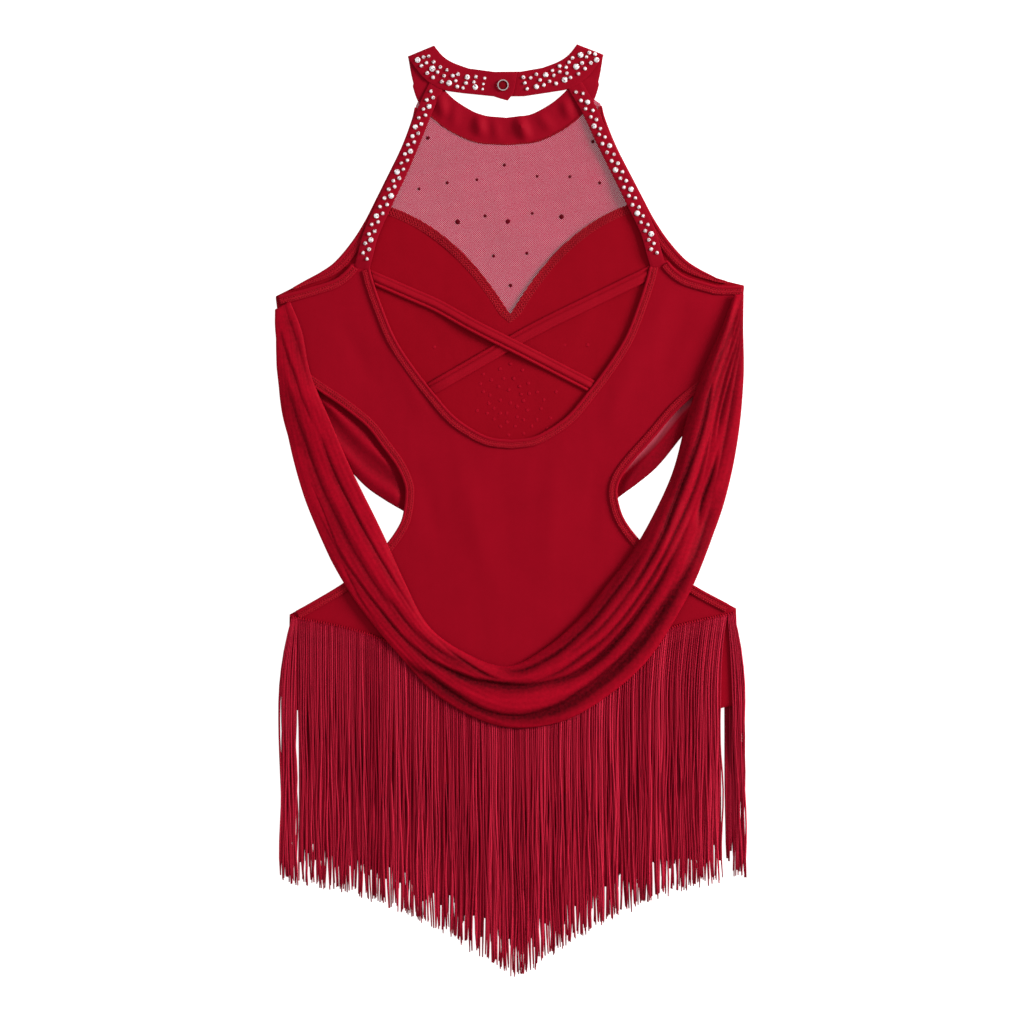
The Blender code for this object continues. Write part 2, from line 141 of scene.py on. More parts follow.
def weighed(tree, *parts):
    """The sum of values, each times its own weight."""
    total = 0.0
    for value, weight in parts:
        total = combine(tree, "ADD", total, combine(tree, "MULTIPLY", value, weight))
    return total


def add_bump(tree, shader, height, depth, strength=1.0, before=None):
    """Relief of a depth in millimetres, on top of an earlier one if there is one."""
    bump = add_node(tree, "Bump", (), {"Distance": depth * MM, "Strength": strength})
    tree.links.new(height, bump.inputs["Height"])
    if before:
        tree.links.new(before, bump.inputs["Normal"])
    tree.links.new(bump.outputs["Normal"], shader.inputs["Normal"])
    return bump.outputs["Normal"]


def jersey(name, dark, light, pitch=KNIT_PITCH, roughness=0.62, cloud=38.0):
    """Fine knitted jersey: wales and courses, and a soft unevenness in its dye."""
    made, tree, shader, place = blank_finish(name, roughness)
    wales = bands(tree, place, "X", pitch)
    courses = bands(tree, place, "Y", pitch * 0.8)
    knit = combine(tree, "MULTIPLY", wales, courses)
    clouds = patches(tree, place, cloud, 3.0, {"Roughness": 0.6})
    stretched = add_node(tree, "Mapping", (), {"Scale": (1.0, 0.12, 1.0)})
    tree.links.new(place, stretched.inputs["Vector"])
    streaks = patches(tree, stretched.outputs["Vector"], 160.0, 2.0)
    share = weighed(tree, (clouds, 0.6), (streaks, 0.25), (knit, 0.3))
    tree.links.new(blend_colours(tree, dark, light, share), shader.inputs["Base Color"])
    soft = add_bump(tree, shader, clouds, 0.8, 0.25)
    add_bump(tree, shader, knit, 0.06, 0.5, soft)
    return made


def smooth_line(points, steps=6):
    """Catmull-Rom curve through rows of numbers, with steps points to each stretch."""
    rows = np.array(points, dtype=float)
    ends = np.vstack([2 * rows[0] - rows[1], rows, 2 * rows[-1] - rows[-2]])
    line = []
    for before, start, end, after in zip(ends, ends[1:], ends[2:], ends[3:]):
        for step in range(steps):
            t = step / steps
            line.append(0.5 * (2 * start + (end - before) * t
                               + (2 * before - 5 * start + 4 * end - after) * t ** 2
                               + (3 * start - before - 3 * end + after) * t ** 3))
    line.append(rows[-1])
    return np.array(line)


def beside(line, distance):
    """The line moved to the left of its own direction, by one distance or by one for each point."""
    line = np.array(line, dtype=float)
    way = np.gradient(line, axis=0)
    way /= np.linalg.norm(way, axis=1)[:, None]
    left = np.stack([-way[:, 1], way[:, 0]], axis=1)
    return line + left * np.reshape(distance, (-1, 1))


def raised(line, height):
    """A flat line with one height, or one for each point, as its third number."""
    return np.column_stack([line, np.broadcast_to(height, len(line))])


def on_side(points, side):
    """A half outline on the right, 1, or the left, -1, of the middle."""
    line = smooth_line(points)
    if side > 0:
        share = np.clip((line[:, 0] - CORNER_START) / (CORNER_END - CORNER_START), 0, 1)
        line[:, 1] += CORNER_LIFT * share * (line[:, 1] > CORNER_ABOVE)
    line[:, 0] *= side
    return line


def both_sides(points):
    """A half outline made whole, from the left end round to the right."""
    return np.vstack([on_side(points, -1)[::-1], on_side(points, 1)[1:]])


def as_mesh(name, bm):
    """A finished mesh, with its working form let go."""
    mesh = bpy.data.meshes.new(name)
    bm.to_mesh(mesh)
    bm.free()
    return mesh


def add_piece(name, bm, finish, replaces=()):
    """A piece from a mesh in the pattern's millimetres, which goes with the garment."""
    bmesh.ops.translate(bm, vec=(*SHIFT, 0), verts=bm.verts[:])
    bmesh.ops.scale(bm, vec=(MM, MM, MM), verts=bm.verts[:])
    mesh = as_mesh(name, bm)
    mesh.polygons.foreach_set("use_smooth", [True] * len(mesh.polygons))
    mesh.materials.append(finish)
    piece = bpy.data.objects.new(name, mesh)
    bpy.context.scene.collection.objects.link(piece)
    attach(piece, "root")
    if replaces:
        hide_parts(*replaces)
    return piece


def cut_cells(node, cell):
    """A merged copy of a flat piece of the frame, cut into even cells so that it can crease."""
    bm = bmesh.new()
    bm.from_mesh(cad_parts[node].data)
    bmesh.ops.remove_doubles(bm, verts=bm.verts[:], dist=0.01 * MM)
    bmesh.ops.dissolve_limit(bm, angle_limit=math.radians(0.5), verts=bm.verts[:], edges=bm.edges[:])
    bmesh.ops.scale(bm, vec=(1 / MM, 1 / MM, 1 / MM), verts=bm.verts[:])
    bmesh.ops.translate(bm, vec=(*-SHIFT, 0), verts=bm.verts[:])
    corners = np.array([vert.co for vert in bm.verts])
    for axis in (0, 1):
        way = [0, 0, 0]
        way[axis] = 1
        for place in np.arange(corners[:, axis].min() + cell / 2, corners[:, axis].max(), cell):
            point = [0, 0, 0]
            point[axis] = place
            bmesh.ops.bisect_plane(bm, geom=bm.verts[:] + bm.edges[:] + bm.faces[:], dist=0.02,
                                   plane_co=point, plane_no=way)
    return bm


def crease(bm, rows):
    """Soft troughs and ridges: from across, up, to across, up, half width, rise."""
    points = np.array([vert.co for vert in bm.verts])
    rise = np.zeros(len(points))
    for x0, y0, x1, y1, width, height in rows:
        start = np.array((x0, y0))
        run = np.array((x1, y1)) - start
        share = (points[:, :2] - start) @ run / (run @ run)
        near = start + np.clip(share, 0, 1)[:, None] * run
        away = np.linalg.norm(points[:, :2] - near, axis=1)
        fade = np.clip(1 - (2 * share - 1) ** 2, 0, 1)
        rise += height * np.exp(-(away / width) ** 2) * fade
    for vert, lift in zip(bm.verts, rise):
        vert.co.z += lift


def sheet_area(bm, sides=1):
    """The area of a sheet, in square metres, from the faces of one or both of its sides."""
    return sum(face.calc_area() for face in bm.faces) / sides * MM ** 2


def panel(name, node, finish, creases, cell=CELL):
    """A flat piece of the frame, cut into cells and creased, and its area."""
    bm = cut_cells(node, cell)
    crease(bm, creases)
    area = sheet_area(bm, 2)
    return add_piece(name, bm, finish, [node]), area


def bar(sides, radius, cuts):
    """A straight closed bar one unit long, cut across into rings."""
    bm = bmesh.new()
    bmesh.ops.create_cone(bm, cap_ends=True, segments=sides, radius1=radius, radius2=radius, depth=1.0)
    lengthwise = [edge for edge in bm.edges if abs(edge.verts[0].co.z - edge.verts[1].co.z) > 0.5]
    bmesh.ops.subdivide_edges(bm, edges=lengthwise, cuts=cuts)
    return bm


def stitch_shape():
    """One thread stitch: a short round bar that thins at both ends, one unit long."""
    bm = bar(5, 0.5, 2)
    for vert in bm.verts:
        if abs(vert.co.z) > 0.4:
            vert.co.x *= 0.45
            vert.co.y *= 0.45
        vert.co = (vert.co.z, vert.co.x, vert.co.y)
    bmesh.ops.recalc_face_normals(bm, faces=bm.faces[:])
    return as_mesh("stitch", bm)


def evenly(line, pitch):
    """Points at an even pitch along a line, and the angle of its way at each."""
    line = np.array(line, dtype=float)
    steps = np.linalg.norm(np.diff(line[:, :2], axis=0), axis=1)
    reach = np.concatenate([[0], np.cumsum(steps)])
    places = np.arange(pitch / 2, reach[-1], pitch)
    points = np.stack([np.interp(places, reach, column) for column in line.T], axis=1)
    way = np.gradient(points[:, :2], axis=0)
    return points, np.arctan2(way[:, 1], way[:, 0])


def copies(pattern, places):
    """A mesh of one shape set down many times: across, up, height, turn, length, width, depth."""
    shape = np.array([vert.co for vert in pattern.vertices])
    bm = bmesh.new()
    for _ in places:
        bm.from_mesh(pattern)
    points = []
    for x, y, z, turn, length, width, depth in places:
        sized = shape * (length, width, depth)
        points.append(np.stack([x + sized[:, 0] * math.cos(turn) - sized[:, 1] * math.sin(turn),
                                y + sized[:, 0] * math.sin(turn) + sized[:, 1] * math.cos(turn),
                                z + sized[:, 2]], axis=1))
    for vert, point in zip(bm.verts, np.concatenate(points)):
        vert.co = point
    return bm


def stitches(line, pitch, length, slant=0.0, width=0.45):
    """Places of a row of stitches along a raised line, a zigzag if slant is not 0."""
    rows = []
    for count, (point, turn) in enumerate(zip(*evenly(line, pitch))):
        way = slant if count % 2 else -slant
        rows.append((*point, turn + way, length, width, width))
    return rows


STITCH = stitch_shape()
jersey_cloth = jersey("jersey_cloth", *JERSEY_REDS)
bodice_cloth = jersey("bodice_cloth", *BODICE_REDS)
thread = jersey("thread", *THREAD_REDS, pitch=0.3, roughness=0.5, cloud=420.0)

front_panel, front_area = panel("front_panel", "front_body", bodice_cloth, FRONT_CREASES)

sweetheart = both_sides(SWEETHEART)
rows = []
for offset, *stitch in OVERLOCK:
    rows += stitches(raised(beside(sweetheart, offset), FRONT_TOP), *stitch)
front_overlock = add_piece("front_overlock", copies(STITCH, rows), thread)

# Yoke
# A single layer of fine net between the sweetheart seam and the neck band, over the white table.
# Small red studs, the backs of the stones on its face, show through it. More of them press faint
# bumps into the front below it.

NET_REDS = ((0.34, 0.003, 0.038), (0.42, 0.006, 0.055))
NET_PITCH = 1.3
NET_OPEN = 0.97
YOKE_CELL = 4.0
YOKE_CREASES = ((-70, 240, -20, 214, 6, 0.3), (72, 236, 28, 216, 6, 0.3), (-30, 250, 34, 244, 5, 0.25),
                (-12, 236, 6, 170, 8, 0.3))
YOKE_STUDS = ((-3, 236.5, 2.0), (-42.5, 224.5, 2.2), (-22, 226.5, 1.8), (19.5, 228.5, 1.8),
              (42, 228, 2.0), (-62, 220.5, 1.8), (62.5, 223.5, 2.0), (-16.5, 201.5, 2.0),
              (-35.5, 197.5, 3.0), (-1, 197.5, 3.0), (16, 203, 1.8), (36, 200.5, 3.0),
              (-11, 174, 2.0), (12, 175.5, 2.0), (0.5, 153.5, 2.2), (-55.5, 255.5, 2.2), (58, 252, 2.2))
YOKE_TOP = 1.25
STUD_REDS = ((0.07, 0.001, 0.004), (0.11, 0.002, 0.007))
STUD_GROWTH = 1.2
STUD_DEPTH = 1.2
BODICE_STUDS = ((-7.5, 96), (0, 99.5), (-13.5, 88.5), (-19, 92.5), (-19, 80.5), (-8.5, 84),
                (-1.5, 81.5), (6, 84), (7, 78.5), (18, 80), (31, 80), (8.5, 74), (2, 89.5), (8, 95),
                (-12, 69), (-23.5, 67.5), (-15.5, 72.5), (-7.5, 74.5), (-3, 65.5), (4, 70), (11, 67.5),
                (20.5, 68.5), (-12, 61.5), (4, 63), (8.5, 61), (-3, 59.5), (-7.5, 56.5), (2.5, 56.5),
                (24.5, 55), (8.5, 51.5), (-2, 50.5), (-7.5, 65.5), (-14.5, 78), (12, 86), (22.5, 74.5),
                (27, 62), (-0.5, 72.5), (-5, 89.5), (12.5, 79), (-21, 86), (-16.5, 65.5), (17.5, 61),
                (14, 56.5), (-52.5, 111.5), (-38.5, 111.5), (37.5, 112), (53, 112))
BODICE_STUD = 2.6
BODICE_STUD_DEPTH = 0.34
PRESSED_REDS = ((0.24, 0.001, 0.0075), (0.31, 0.002, 0.012))


def net(name, dark, light, pitch, openness):
    """Diamond net: two sets of slanted threads, with openings between them."""
    made, tree, shader, place = blank_finish(name, 0.7)
    per_metre = 2 * math.pi / 10 / (pitch * MM)
    holes = 1.0
    for turn in (0.0, math.pi / 2):
        turned = add_node(tree, "Mapping", (), {"Rotation": (0, 0, turn)})
        tree.links.new(place, turned.inputs["Vector"])
        wave = add_node(tree, "TexWave", {"bands_direction": "DIAGONAL"}, {"Scale": per_metre})
        tree.links.new(turned.outputs["Vector"], wave.inputs["Vector"])
        holes = combine(tree, "MULTIPLY", combine(tree, "SUBTRACT", 1.0, wave.outputs["Fac"]), holes)
    cover = combine(tree, "SUBTRACT", 1.0, combine(tree, "MULTIPLY", holes, openness))
    dye = blend_colours(tree, dark, light, patches(tree, place, 30.0, 2.0))
    tree.links.new(dye, shader.inputs["Base Color"])
    tree.links.new(cover, shader.inputs["Alpha"])
    add_bump(tree, shader, cover, 0.12, 0.5)
    return made


def stud_shape():
    """A low round dome, one unit across."""
    bm = bmesh.new()
    bmesh.ops.create_uvsphere(bm, u_segments=8, v_segments=6, radius=0.5)
    lower = [vert for vert in bm.verts if vert.co.z < -0.01]
    bmesh.ops.delete(bm, geom=lower, context="VERTS")
    bmesh.ops.holes_fill(bm, edges=bm.edges[:], sides=8)
    return as_mesh("stud", bm)


STUD_DOME = stud_shape()
yoke_net = net("yoke_net", *NET_REDS, NET_PITCH, NET_OPEN)
stud_cloth = jersey("stud_cloth", *STUD_REDS)
yoke, yoke_area = panel("yoke", "front_yoke", yoke_net, YOKE_CREASES, YOKE_CELL)
rows = [(x, y, YOKE_TOP, 0, size * STUD_GROWTH, size * STUD_GROWTH, STUD_DEPTH)
        for x, y, size in YOKE_STUDS]
yoke_studs = add_piece("yoke_studs", copies(STUD_DOME, rows), stud_cloth)
pressed_cloth = jersey("pressed_cloth", *PRESSED_REDS)
rows = [(x, y, FRONT_TOP - BODICE_STUD_DEPTH / 2, 0, BODICE_STUD, BODICE_STUD, BODICE_STUD_DEPTH)
        for x, y in BODICE_STUDS]
bodice_studs = add_piece("bodice_studs", copies(STUD_DOME, rows), pressed_cloth)

# Collar
# One doubled jersey band round the neck, folded flat at both sides, its pointed left end lapped
# over the right at centre back and held by a press stud. Faceted stones are glued along its back.

WALL = 1.2
FRONT_COLLAR = ((0, 269, 0, 251), (16.5, 271, 21, 253), (29.5, 277.5, 39.5, 261.5),
                (38, 284, 52, 271.5), (43, 290, 60, 281.5), (46.5, 302, 64.5, 296.5),
                (48.5, 318, 67, 310.5))
BACK_COLLAR = ((48.5, 318, 67, 310.5), (44.5, 313, 62, 303.5), (40.5, 309.5, 54.5, 295),
               (35, 306.5, 43.5, 288.5), (25.5, 303, 30, 286))
COLLAR_SHIFT = -1.5
COLLAR_FOLD = 0.7
OVER_END = ((6.3, 299.4, 3.6, 285.4, 3.6), (2.5, 299.7, -0.4, 280.4, 3.6),
            (-4.5, 300.1, -5.5, 281.9, 3.6), (-10, 300.4, -10, 283.5, 3.4))
UNDER_END = ((9, 300.5, 11, 283.5), (-8, 300.5, -8, 283.5))
COLLAR_LOW = 0.6
COLLAR_HIGH = 2.1
NECK_LAP = 0.9
NECK_EASE = 0.25
LAP_TOP = 298
NECK_CREASES = ((-21, 271, -19, 256, 3.4, 3.0), (-10, 269, -7, 252, 2.8, 1.2),
                (6, 270, 13, 253, 3.4, 3.8), (20, 272, 31, 259, 3.6, 1.4),
                (-36, 279, -38, 262, 3.8, 1.2), (-48, 287, -44, 269, 3.4, 2.8),
                (38, 282, 42, 267, 3.2, 2.0), (5, 303, 4, 280, 2.2, 0.8))
NECK_END = 290
NECK_THREAD_HEIGHT = 1.9
TURN_STEPS = 4
BAND_REDS = ((0.205, 0.001, 0.0075), (0.285, 0.0022, 0.0125))


def ribbon(name, sections, finish, replaces, wall=WALL, columns=4, offset=0.0, edge=0.35,
           creases=(), profile=((0, 0), (1, 0))):
    """A strip of cloth from rows of its two edges, across, up, across, up, and a height, in the
    middle of its wall if offset is 0, with a rounded edge and a relief across it from profile."""
    last = len(sections) - 1
    bm = bmesh.new()
    bmesh.ops.create_grid(bm, x_segments=columns, y_segments=last, size=0.5)
    for vert in bm.verts:
        row = sections[round((vert.co.y + 0.5) * last)]
        share = vert.co.x + 0.5
        vert.co = (row[0] + (row[2] - row[0]) * share, row[1] + (row[3] - row[1]) * share,
                   row[4] + np.interp(share, *zip(*profile)))
    flat = sheet_area(bm)
    crease(bm, creases)
    piece = add_piece(name, bm, finish, replaces)
    solid = piece.modifiers.new("wall", "SOLIDIFY")
    solid.thickness = wall * MM
    solid.offset = offset
    rounded = piece.modifiers.new("edge", "BEVEL")
    rounded.width = edge * MM
    rounded.segments = 2
    rounded.limit_method = "ANGLE"
    rounded.angle_limit = math.radians(50)
    return piece, flat


def collar_half(rows, side, height):
    """Sections of the band on one side, from a table of its two edges."""
    line = smooth_line(rows, 9) * (side, 1, side, 1) + (COLLAR_SHIFT, 0, COLLAR_SHIFT, 0)
    return [(*row, height) for row in line]


def collar_turn(side):
    """Sections that roll the band over from its low layer to its high one."""
    neck_x, neck_y, body_x, body_y = FRONT_COLLAR[-1]
    length = math.hypot(body_x - neck_x, body_y - neck_y)
    rows = []
    for step in range(1, TURN_STEPS):
        angle = math.pi * (step / TURN_STEPS - 0.5)
        out_x = (neck_y - body_y) / length * COLLAR_FOLD * math.cos(angle)
        out_y = (body_x - neck_x) / length * COLLAR_FOLD * math.cos(angle)
        height = COLLAR_LOW + (COLLAR_HIGH - COLLAR_LOW) * (1 + math.sin(angle)) / 2
        rows.append((side * (neck_x + out_x) + COLLAR_SHIFT, neck_y + out_y,
                     side * (body_x + out_x) + COLLAR_SHIFT, body_y + out_y, height))
    return rows


def lap(row):
    """A section of the neck band, eased up and carried a little over the seam of the yoke."""
    neck_x, neck_y, body_x, body_y, height = row
    grow = NECK_LAP / math.hypot(body_x - neck_x, body_y - neck_y)
    return (neck_x, neck_y, body_x + (body_x - neck_x) * grow, body_y + (body_y - neck_y) * grow,
            height + NECK_EASE)


sections = list(OVER_END)
sections += collar_half(BACK_COLLAR, -1, COLLAR_HIGH)[::-1]
sections += collar_turn(-1)[::-1]
front_sections = collar_half(FRONT_COLLAR, -1, COLLAR_LOW)[::-1]
front_sections += collar_half(FRONT_COLLAR, 1, COLLAR_LOW)[1:]
sections += [lap(row) if row[1] < LAP_TOP else row for row in front_sections]
sections += collar_turn(1)
sections += collar_half(BACK_COLLAR, 1, COLLAR_HIGH)
sections += [(*row, COLLAR_HIGH) for row in UNDER_END]
band_cloth = jersey("band_cloth", *BAND_REDS)
collar_band, collar_area = ribbon("collar_band", sections, band_cloth, ["collar"], columns=9,
                                  creases=NECK_CREASES)

# Stones
# Clear round glass stones, cut to a flat table and a ring of small facets and foiled at the back,
# in two sizes. They are glued in uneven rows on the collar, and in a close zigzag down each strap.

STONE_LARGE = 3.9
STONE_SMALL = 2.6
STONE_DEPTH = 1.3
STONE_CROWN = 0.65
STONE_TABLE = 0.5
STONE_SEED = 11
# Painted glints: dark, rose and bright stops of the stone colour, standing in for reflections in the
# facets.
GLINTS = ((0.14, (0.12, 0.02, 0.03)), (0.30, (0.50, 0.38, 0.40)), (0.46, (0.95, 0.92, 0.93)))
LARGE_STONES = ((-62, 309), (-52, 303), (-40.5, 293), (-28, 297), (-22.5, 290), (19.5, 290), (26, 298),
                (39, 294.5), (47, 303.5), (50, 311.5), (61, 308))
SMALL_STONES = ((-58, 311), (-54.5, 311.5), (-56, 307), (-59.5, 305), (-51, 307.5), (-46.5, 304),
                (-48.5, 300.5), (-55.5, 300), (-51.5, 297), (-42, 302), (-44, 298), (-38, 298),
                (-45.5, 294), (-34.5, 299), (-36, 294.5), (-35, 290.5), (-29, 293), (-31, 289.5),
                (-22, 297), (-23.5, 293.5), (-16, 296), (-17, 292), (-17.5, 288.5), (10.5, 296.5),
                (11.5, 292.5), (13, 288.5), (15.5, 296), (19.5, 298.5), (22, 294.5), (24.5, 291),
                (28.5, 293.5), (31.5, 297.5), (33, 292), (30.5, 301), (35.5, 300), (35.5, 304),
                (40.5, 299), (43, 296), (42, 306.5), (44.5, 309.5), (51, 306), (53, 302), (54, 310),
                (57, 306), (48.5, 298.5), (56, 313), (40, 303), (60, 312))


def stone_shape():
    """A cut stone, one unit across and one high: a girdle, sixteen small facets and a table."""
    bm = bmesh.new()
    bmesh.ops.create_cone(bm, cap_ends=True, segments=8, radius1=0.5, radius2=0.5, depth=1.0)
    bmesh.ops.translate(bm, vec=(0, 0, 0.5), verts=bm.verts[:])
    top = [face for face in bm.faces if face.normal.z > 0.9]
    bmesh.ops.translate(bm, vec=(0, 0, -STONE_CROWN), verts=top[0].verts[:])
    grown = bmesh.ops.extrude_face_region(bm, geom=top)["geom"]
    table = [item for item in grown if isinstance(item, bmesh.types.BMVert)]
    bmesh.ops.translate(bm, vec=(0, 0, STONE_CROWN), verts=table)
    bmesh.ops.scale(bm, vec=(STONE_TABLE, STONE_TABLE, 1), verts=table)
    bmesh.ops.rotate(bm, cent=(0, 0, 0), verts=table, matrix=Matrix.Rotation(math.pi / 8, 3, "Z"))
    bmesh.ops.delete(bm, geom=top, context="FACES")
    bmesh.ops.triangulate(bm, faces=[face for face in bm.faces if len(face.verts) == 4])
    bmesh.ops.recalc_face_normals(bm, faces=bm.faces[:])
    return as_mesh("stone", bm)


def glass_finish():
    """Foiled glass: bright, with grey and rose glints painted into its colour, that change from facet to
    facet.
    """
    made, tree, shader, place = blank_finish("stone_glass", 0.12, 0.5, 0.0, 0.35)
    shader.inputs["Coat Weight"].default_value = 0.6
    glint = add_node(tree, "TexVoronoi", (), {"Scale": 620.0})
    tree.links.new(place, glint.inputs["Vector"])
    ramp = add_node(tree, "ValToRGB")
    ramp.color_ramp.elements.new(0.3)
    for stop, (where, colour) in zip(ramp.color_ramp.elements, GLINTS):
        stop.position = where
        stop.color = (*colour, 1)
    tree.links.new(glint.outputs["Distance"], ramp.inputs["Fac"])
    tree.links.new(ramp.outputs["Color"], shader.inputs["Base Color"])
    return made


def stone_rows(places, size, height):
    """Rows for copies of the stone, each turned at random and a little larger or smaller."""
    rows = []
    for x, y in places:
        wide = size * random.uniform(0.92, 1.08)
        rows.append((x, y, height, random.uniform(0, 1), wide, wide, STONE_DEPTH))
    return rows


def glued_stones(name, rows):
    """A joined piece of many stones, shaded flat so that each facet shows."""
    piece = add_piece(name, copies(STONE, rows), stone_glass)
    faces = piece.data.polygons
    faces.foreach_set("use_smooth", [False] * len(faces))
    return piece


random.seed(STONE_SEED)
STONE = stone_shape()
stone_glass = glass_finish()
rows = stone_rows(LARGE_STONES, STONE_LARGE, COLLAR_HIGH + WALL / 2)
rows += stone_rows(SMALL_STONES, STONE_SMALL, COLLAR_HIGH + WALL / 2)
collar_stones = glued_stones("collar_stones", rows)
neck_seam = np.array([row[2:4] for row in front_sections if row[1] < NECK_END])
rows = stitches(raised(beside(neck_seam, -0.4), NECK_THREAD_HEIGHT), 1.0, 1.5, 1.1)
neck_stitching = add_piece("neck_stitching", copies(STITCH, rows), thread)

# Press stud
# A sprung ring of plated steel, set through the lapped end of the collar, round a red centre.
# The ring is the one in the frame, and a low dome of jersey-red enamel fills its middle.

STUD_WIDTH = 6.6
ENAMEL_HEIGHT = 4.3
ENAMEL_DEPTH = 1.2
ENAMEL_REDS = ((0.12, 0.001, 0.004), (0.2, 0.003, 0.008))
STEEL_GREYS = ((0.55, 0.52, 0.51), (0.95, 0.93, 0.91))


def steel_finish():
    """Plated steel, lightly scratched."""
    made, tree, shader, place = blank_finish("plated_steel", 0.22, 0.5, 0.0, 1.0)
    marks = patches(tree, place, 700.0, 4.0)
    tree.links.new(blend_colours(tree, *STEEL_GREYS, marks), shader.inputs["Base Color"])
    tree.links.new(weighed(tree, (marks, 0.25), (1.0, 0.12)), shader.inputs["Roughness"])
    return made


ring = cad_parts["snap"]
ring.data.materials.clear()
ring.data.materials.append(steel_finish())
rows = [(*STUD, ENAMEL_HEIGHT, 0, STUD_WIDTH, STUD_WIDTH, ENAMEL_DEPTH)]
stud_enamel = jersey("stud_enamel", *ENAMEL_REDS, pitch=0.9, roughness=0.35)
add_piece("stud_centre", copies(STUD_DOME, rows), stud_enamel)

# Straps
# Two doubled jersey straps from the collar down to the tops of the back, each 10.5 mm wide.
# They are turned and pressed, and the same stones run down them in a zigzag.

STRAP = 10.5
STRAP_LINE = ((45.5, 49, 292, 1.25), (48, 51.5, 287, 1.4), (55.5, 57.5, 274, 2.2),
              (64, 65, 255.5, 3.0), (75, 75, 232.5, 3.0), (81.5, 81.5, 219, 4.5),
              (86.5, 86.5, 208.5, 4.5), (95, 95, 190, 4.5), (99.5, 99.5, 174, 4.5), (102, 102, 165.5, 3.0))
STRAP_PITCH = 3.35
STRAP_OFFSET = 1.6
STRAP_TOP = 292.5
FIRST_STONE = 289.0
LAST_STONE = 172.0
LARGE_EVERY = 5

for label, side, column in (("right", 1, 0), ("left", -1, 1)):
    line = smooth_line(STRAP_LINE)
    line = line[line[:, 2] < STRAP_TOP]
    middle = np.stack([side * line[:, column], line[:, 2]], axis=1)
    first = beside(middle, STRAP / 2)
    second = beside(middle, -STRAP / 2)
    sections = [(*a, *b, z) for a, b, z in zip(first, second, line[:, 3])]
    strap, area = ribbon("studded_strap_" + label, sections, band_cloth, ["strap_" + label],
                         offset=1.0)
    route = raised(middle, line[:, 3])
    route = route[(route[:, 1] < FIRST_STONE) & (route[:, 1] > LAST_STONE)]
    rows = []
    for count, ((x, y, z), turn) in enumerate(zip(*evenly(route, STRAP_PITCH))):
        out = STRAP_OFFSET * (1 if count % 2 else -1) + random.uniform(-0.4, 0.4)
        if count % LARGE_EVERY == 3:
            size = STONE_LARGE * random.uniform(0.9, 1.0)
        else:
            size = STONE_SMALL * random.uniform(0.9, 1.1)
        rows.append((x - out * math.sin(turn), y + out * math.cos(turn), z + WALL, random.uniform(0, 1),
                     size, size, STONE_DEPTH))
    stones = glued_stones("strap_stones_" + label, rows)

# Back body
# One panel of the same jersey, with a deep scoop, cut-out sides and high legs, laid over the front.
# It is eased flat by hand and keeps a few long, shallow creases.

BACK_CREASES = ((-84, 120, -58, 60, 6, 0.7), (88, 112, 64, 52, 7, 0.7), (-120, 134, -92, 84, 6, -0.5),
                (126, 140, 100, 92, 7, -0.6), (112, 150, 88, 108, 7, 0.6), (-40, 48, -14, -60, 8, 0.6),
                (34, 50, 20, -58, 8, 0.6), (-6, 36, 2, -70, 8, -0.4), (-64, 40, -50, -30, 6, -0.4),
                (60, 38, 50, -34, 6, -0.4), (-130, -96, -70, -120, 5, 0.5), (128, -98, 78, -122, 5, 0.5))

back_panel, back_area = panel("back_panel", "back_body", jersey_cloth, BACK_CREASES)

# Bound edges
# The scoop, the cut-outs and the armholes are turned over 6 or 7 mm and cover-stitched: two rows of
# short stitches with a zigzag between them, and a corded ridge at the fold.

SCOOP = ((0, 47), (15, 49), (28, 55.5), (40, 64.5), (52, 78.5), (65.5, 96), (79, 117), (88.5, 140.5),
         (94, 157), (97, 169.5))
SCOOP_END = 167
CUTOUT_LOW = -70
CUTOUT_HIGH = 96
BACK_ARMHOLE = ((108.5, 169.5), (113, 164), (121.5, 158), (137.5, 153), (150.5, 149.5), (161, 147))
CUTOUT_RIGHT = ((155.5, 98), (141, 88), (124, 75), (112.5, 64.5), (97, 46.5), (85, 33.5), (77.5, 24),
                (73.5, 16.5), (72.5, 8.5), (75, -3), (79.5, -12), (88, -23), (103, -38.5),
                (124.5, -54), (153.5, -70))
CUTOUT_LEFT = ((155.5, 98), (142, 89), (129, 80), (116, 71), (99, 57), (88.5, 43), (79.5, 30.5),
               (74, 18.5), (73, 9.5), (75, -4.5), (79, -13.5), (87.5, -25), (101, -38), (116.5, -50.5),
               (139.5, -64), (153.5, -71.5))
FRONT_BINDING = ((64, 276.5, 2, 1.5), (66.5, 267, 5, 1.5), (74, 248, 7, 1.5), (85.5, 225, 7, 1.5),
                 (92, 212, 7, 3.0), (99, 198.5, 7, 3.0), (108, 184.5, 7, 3.0), (119.5, 171, 7, 3.0),
                 (129, 164, 5.5, 3.0), (140, 158, 3, 3.0), (149, 153, 1.2, 3.0))
BINDING = 6.0
TRIM = 1.0
ON_BACK = 4.5
THREAD_LIFT = 0.05
EDGE_COLUMNS = 10
EDGE_ROUND = 0.25
EDGE_PROFILE = ((0, -0.1), (0.1, 0.4), (0.2, 0.35), (0.32, -0.1), (0.42, -0.2), (0.6, 0.15),
                (0.75, 0.1), (0.86, -0.2), (1, -0.3))
EDGE_REDS = ((0.222, 0.0013, 0.008), (0.305, 0.0023, 0.012))

# Cover stitches, a row each: share of the edge's width, pitch, length, slant, width
COVER_STITCHES = ((0.42, 1.7, 1.4, 0, 0.6), (0.86, 1.7, 1.4, 0, 0.6), (0.64, 1.0, 2.3, 1.0, 0.42))

edge_cloth = jersey("edge_cloth", *EDGE_REDS)
edges = []
edge_stitches = []


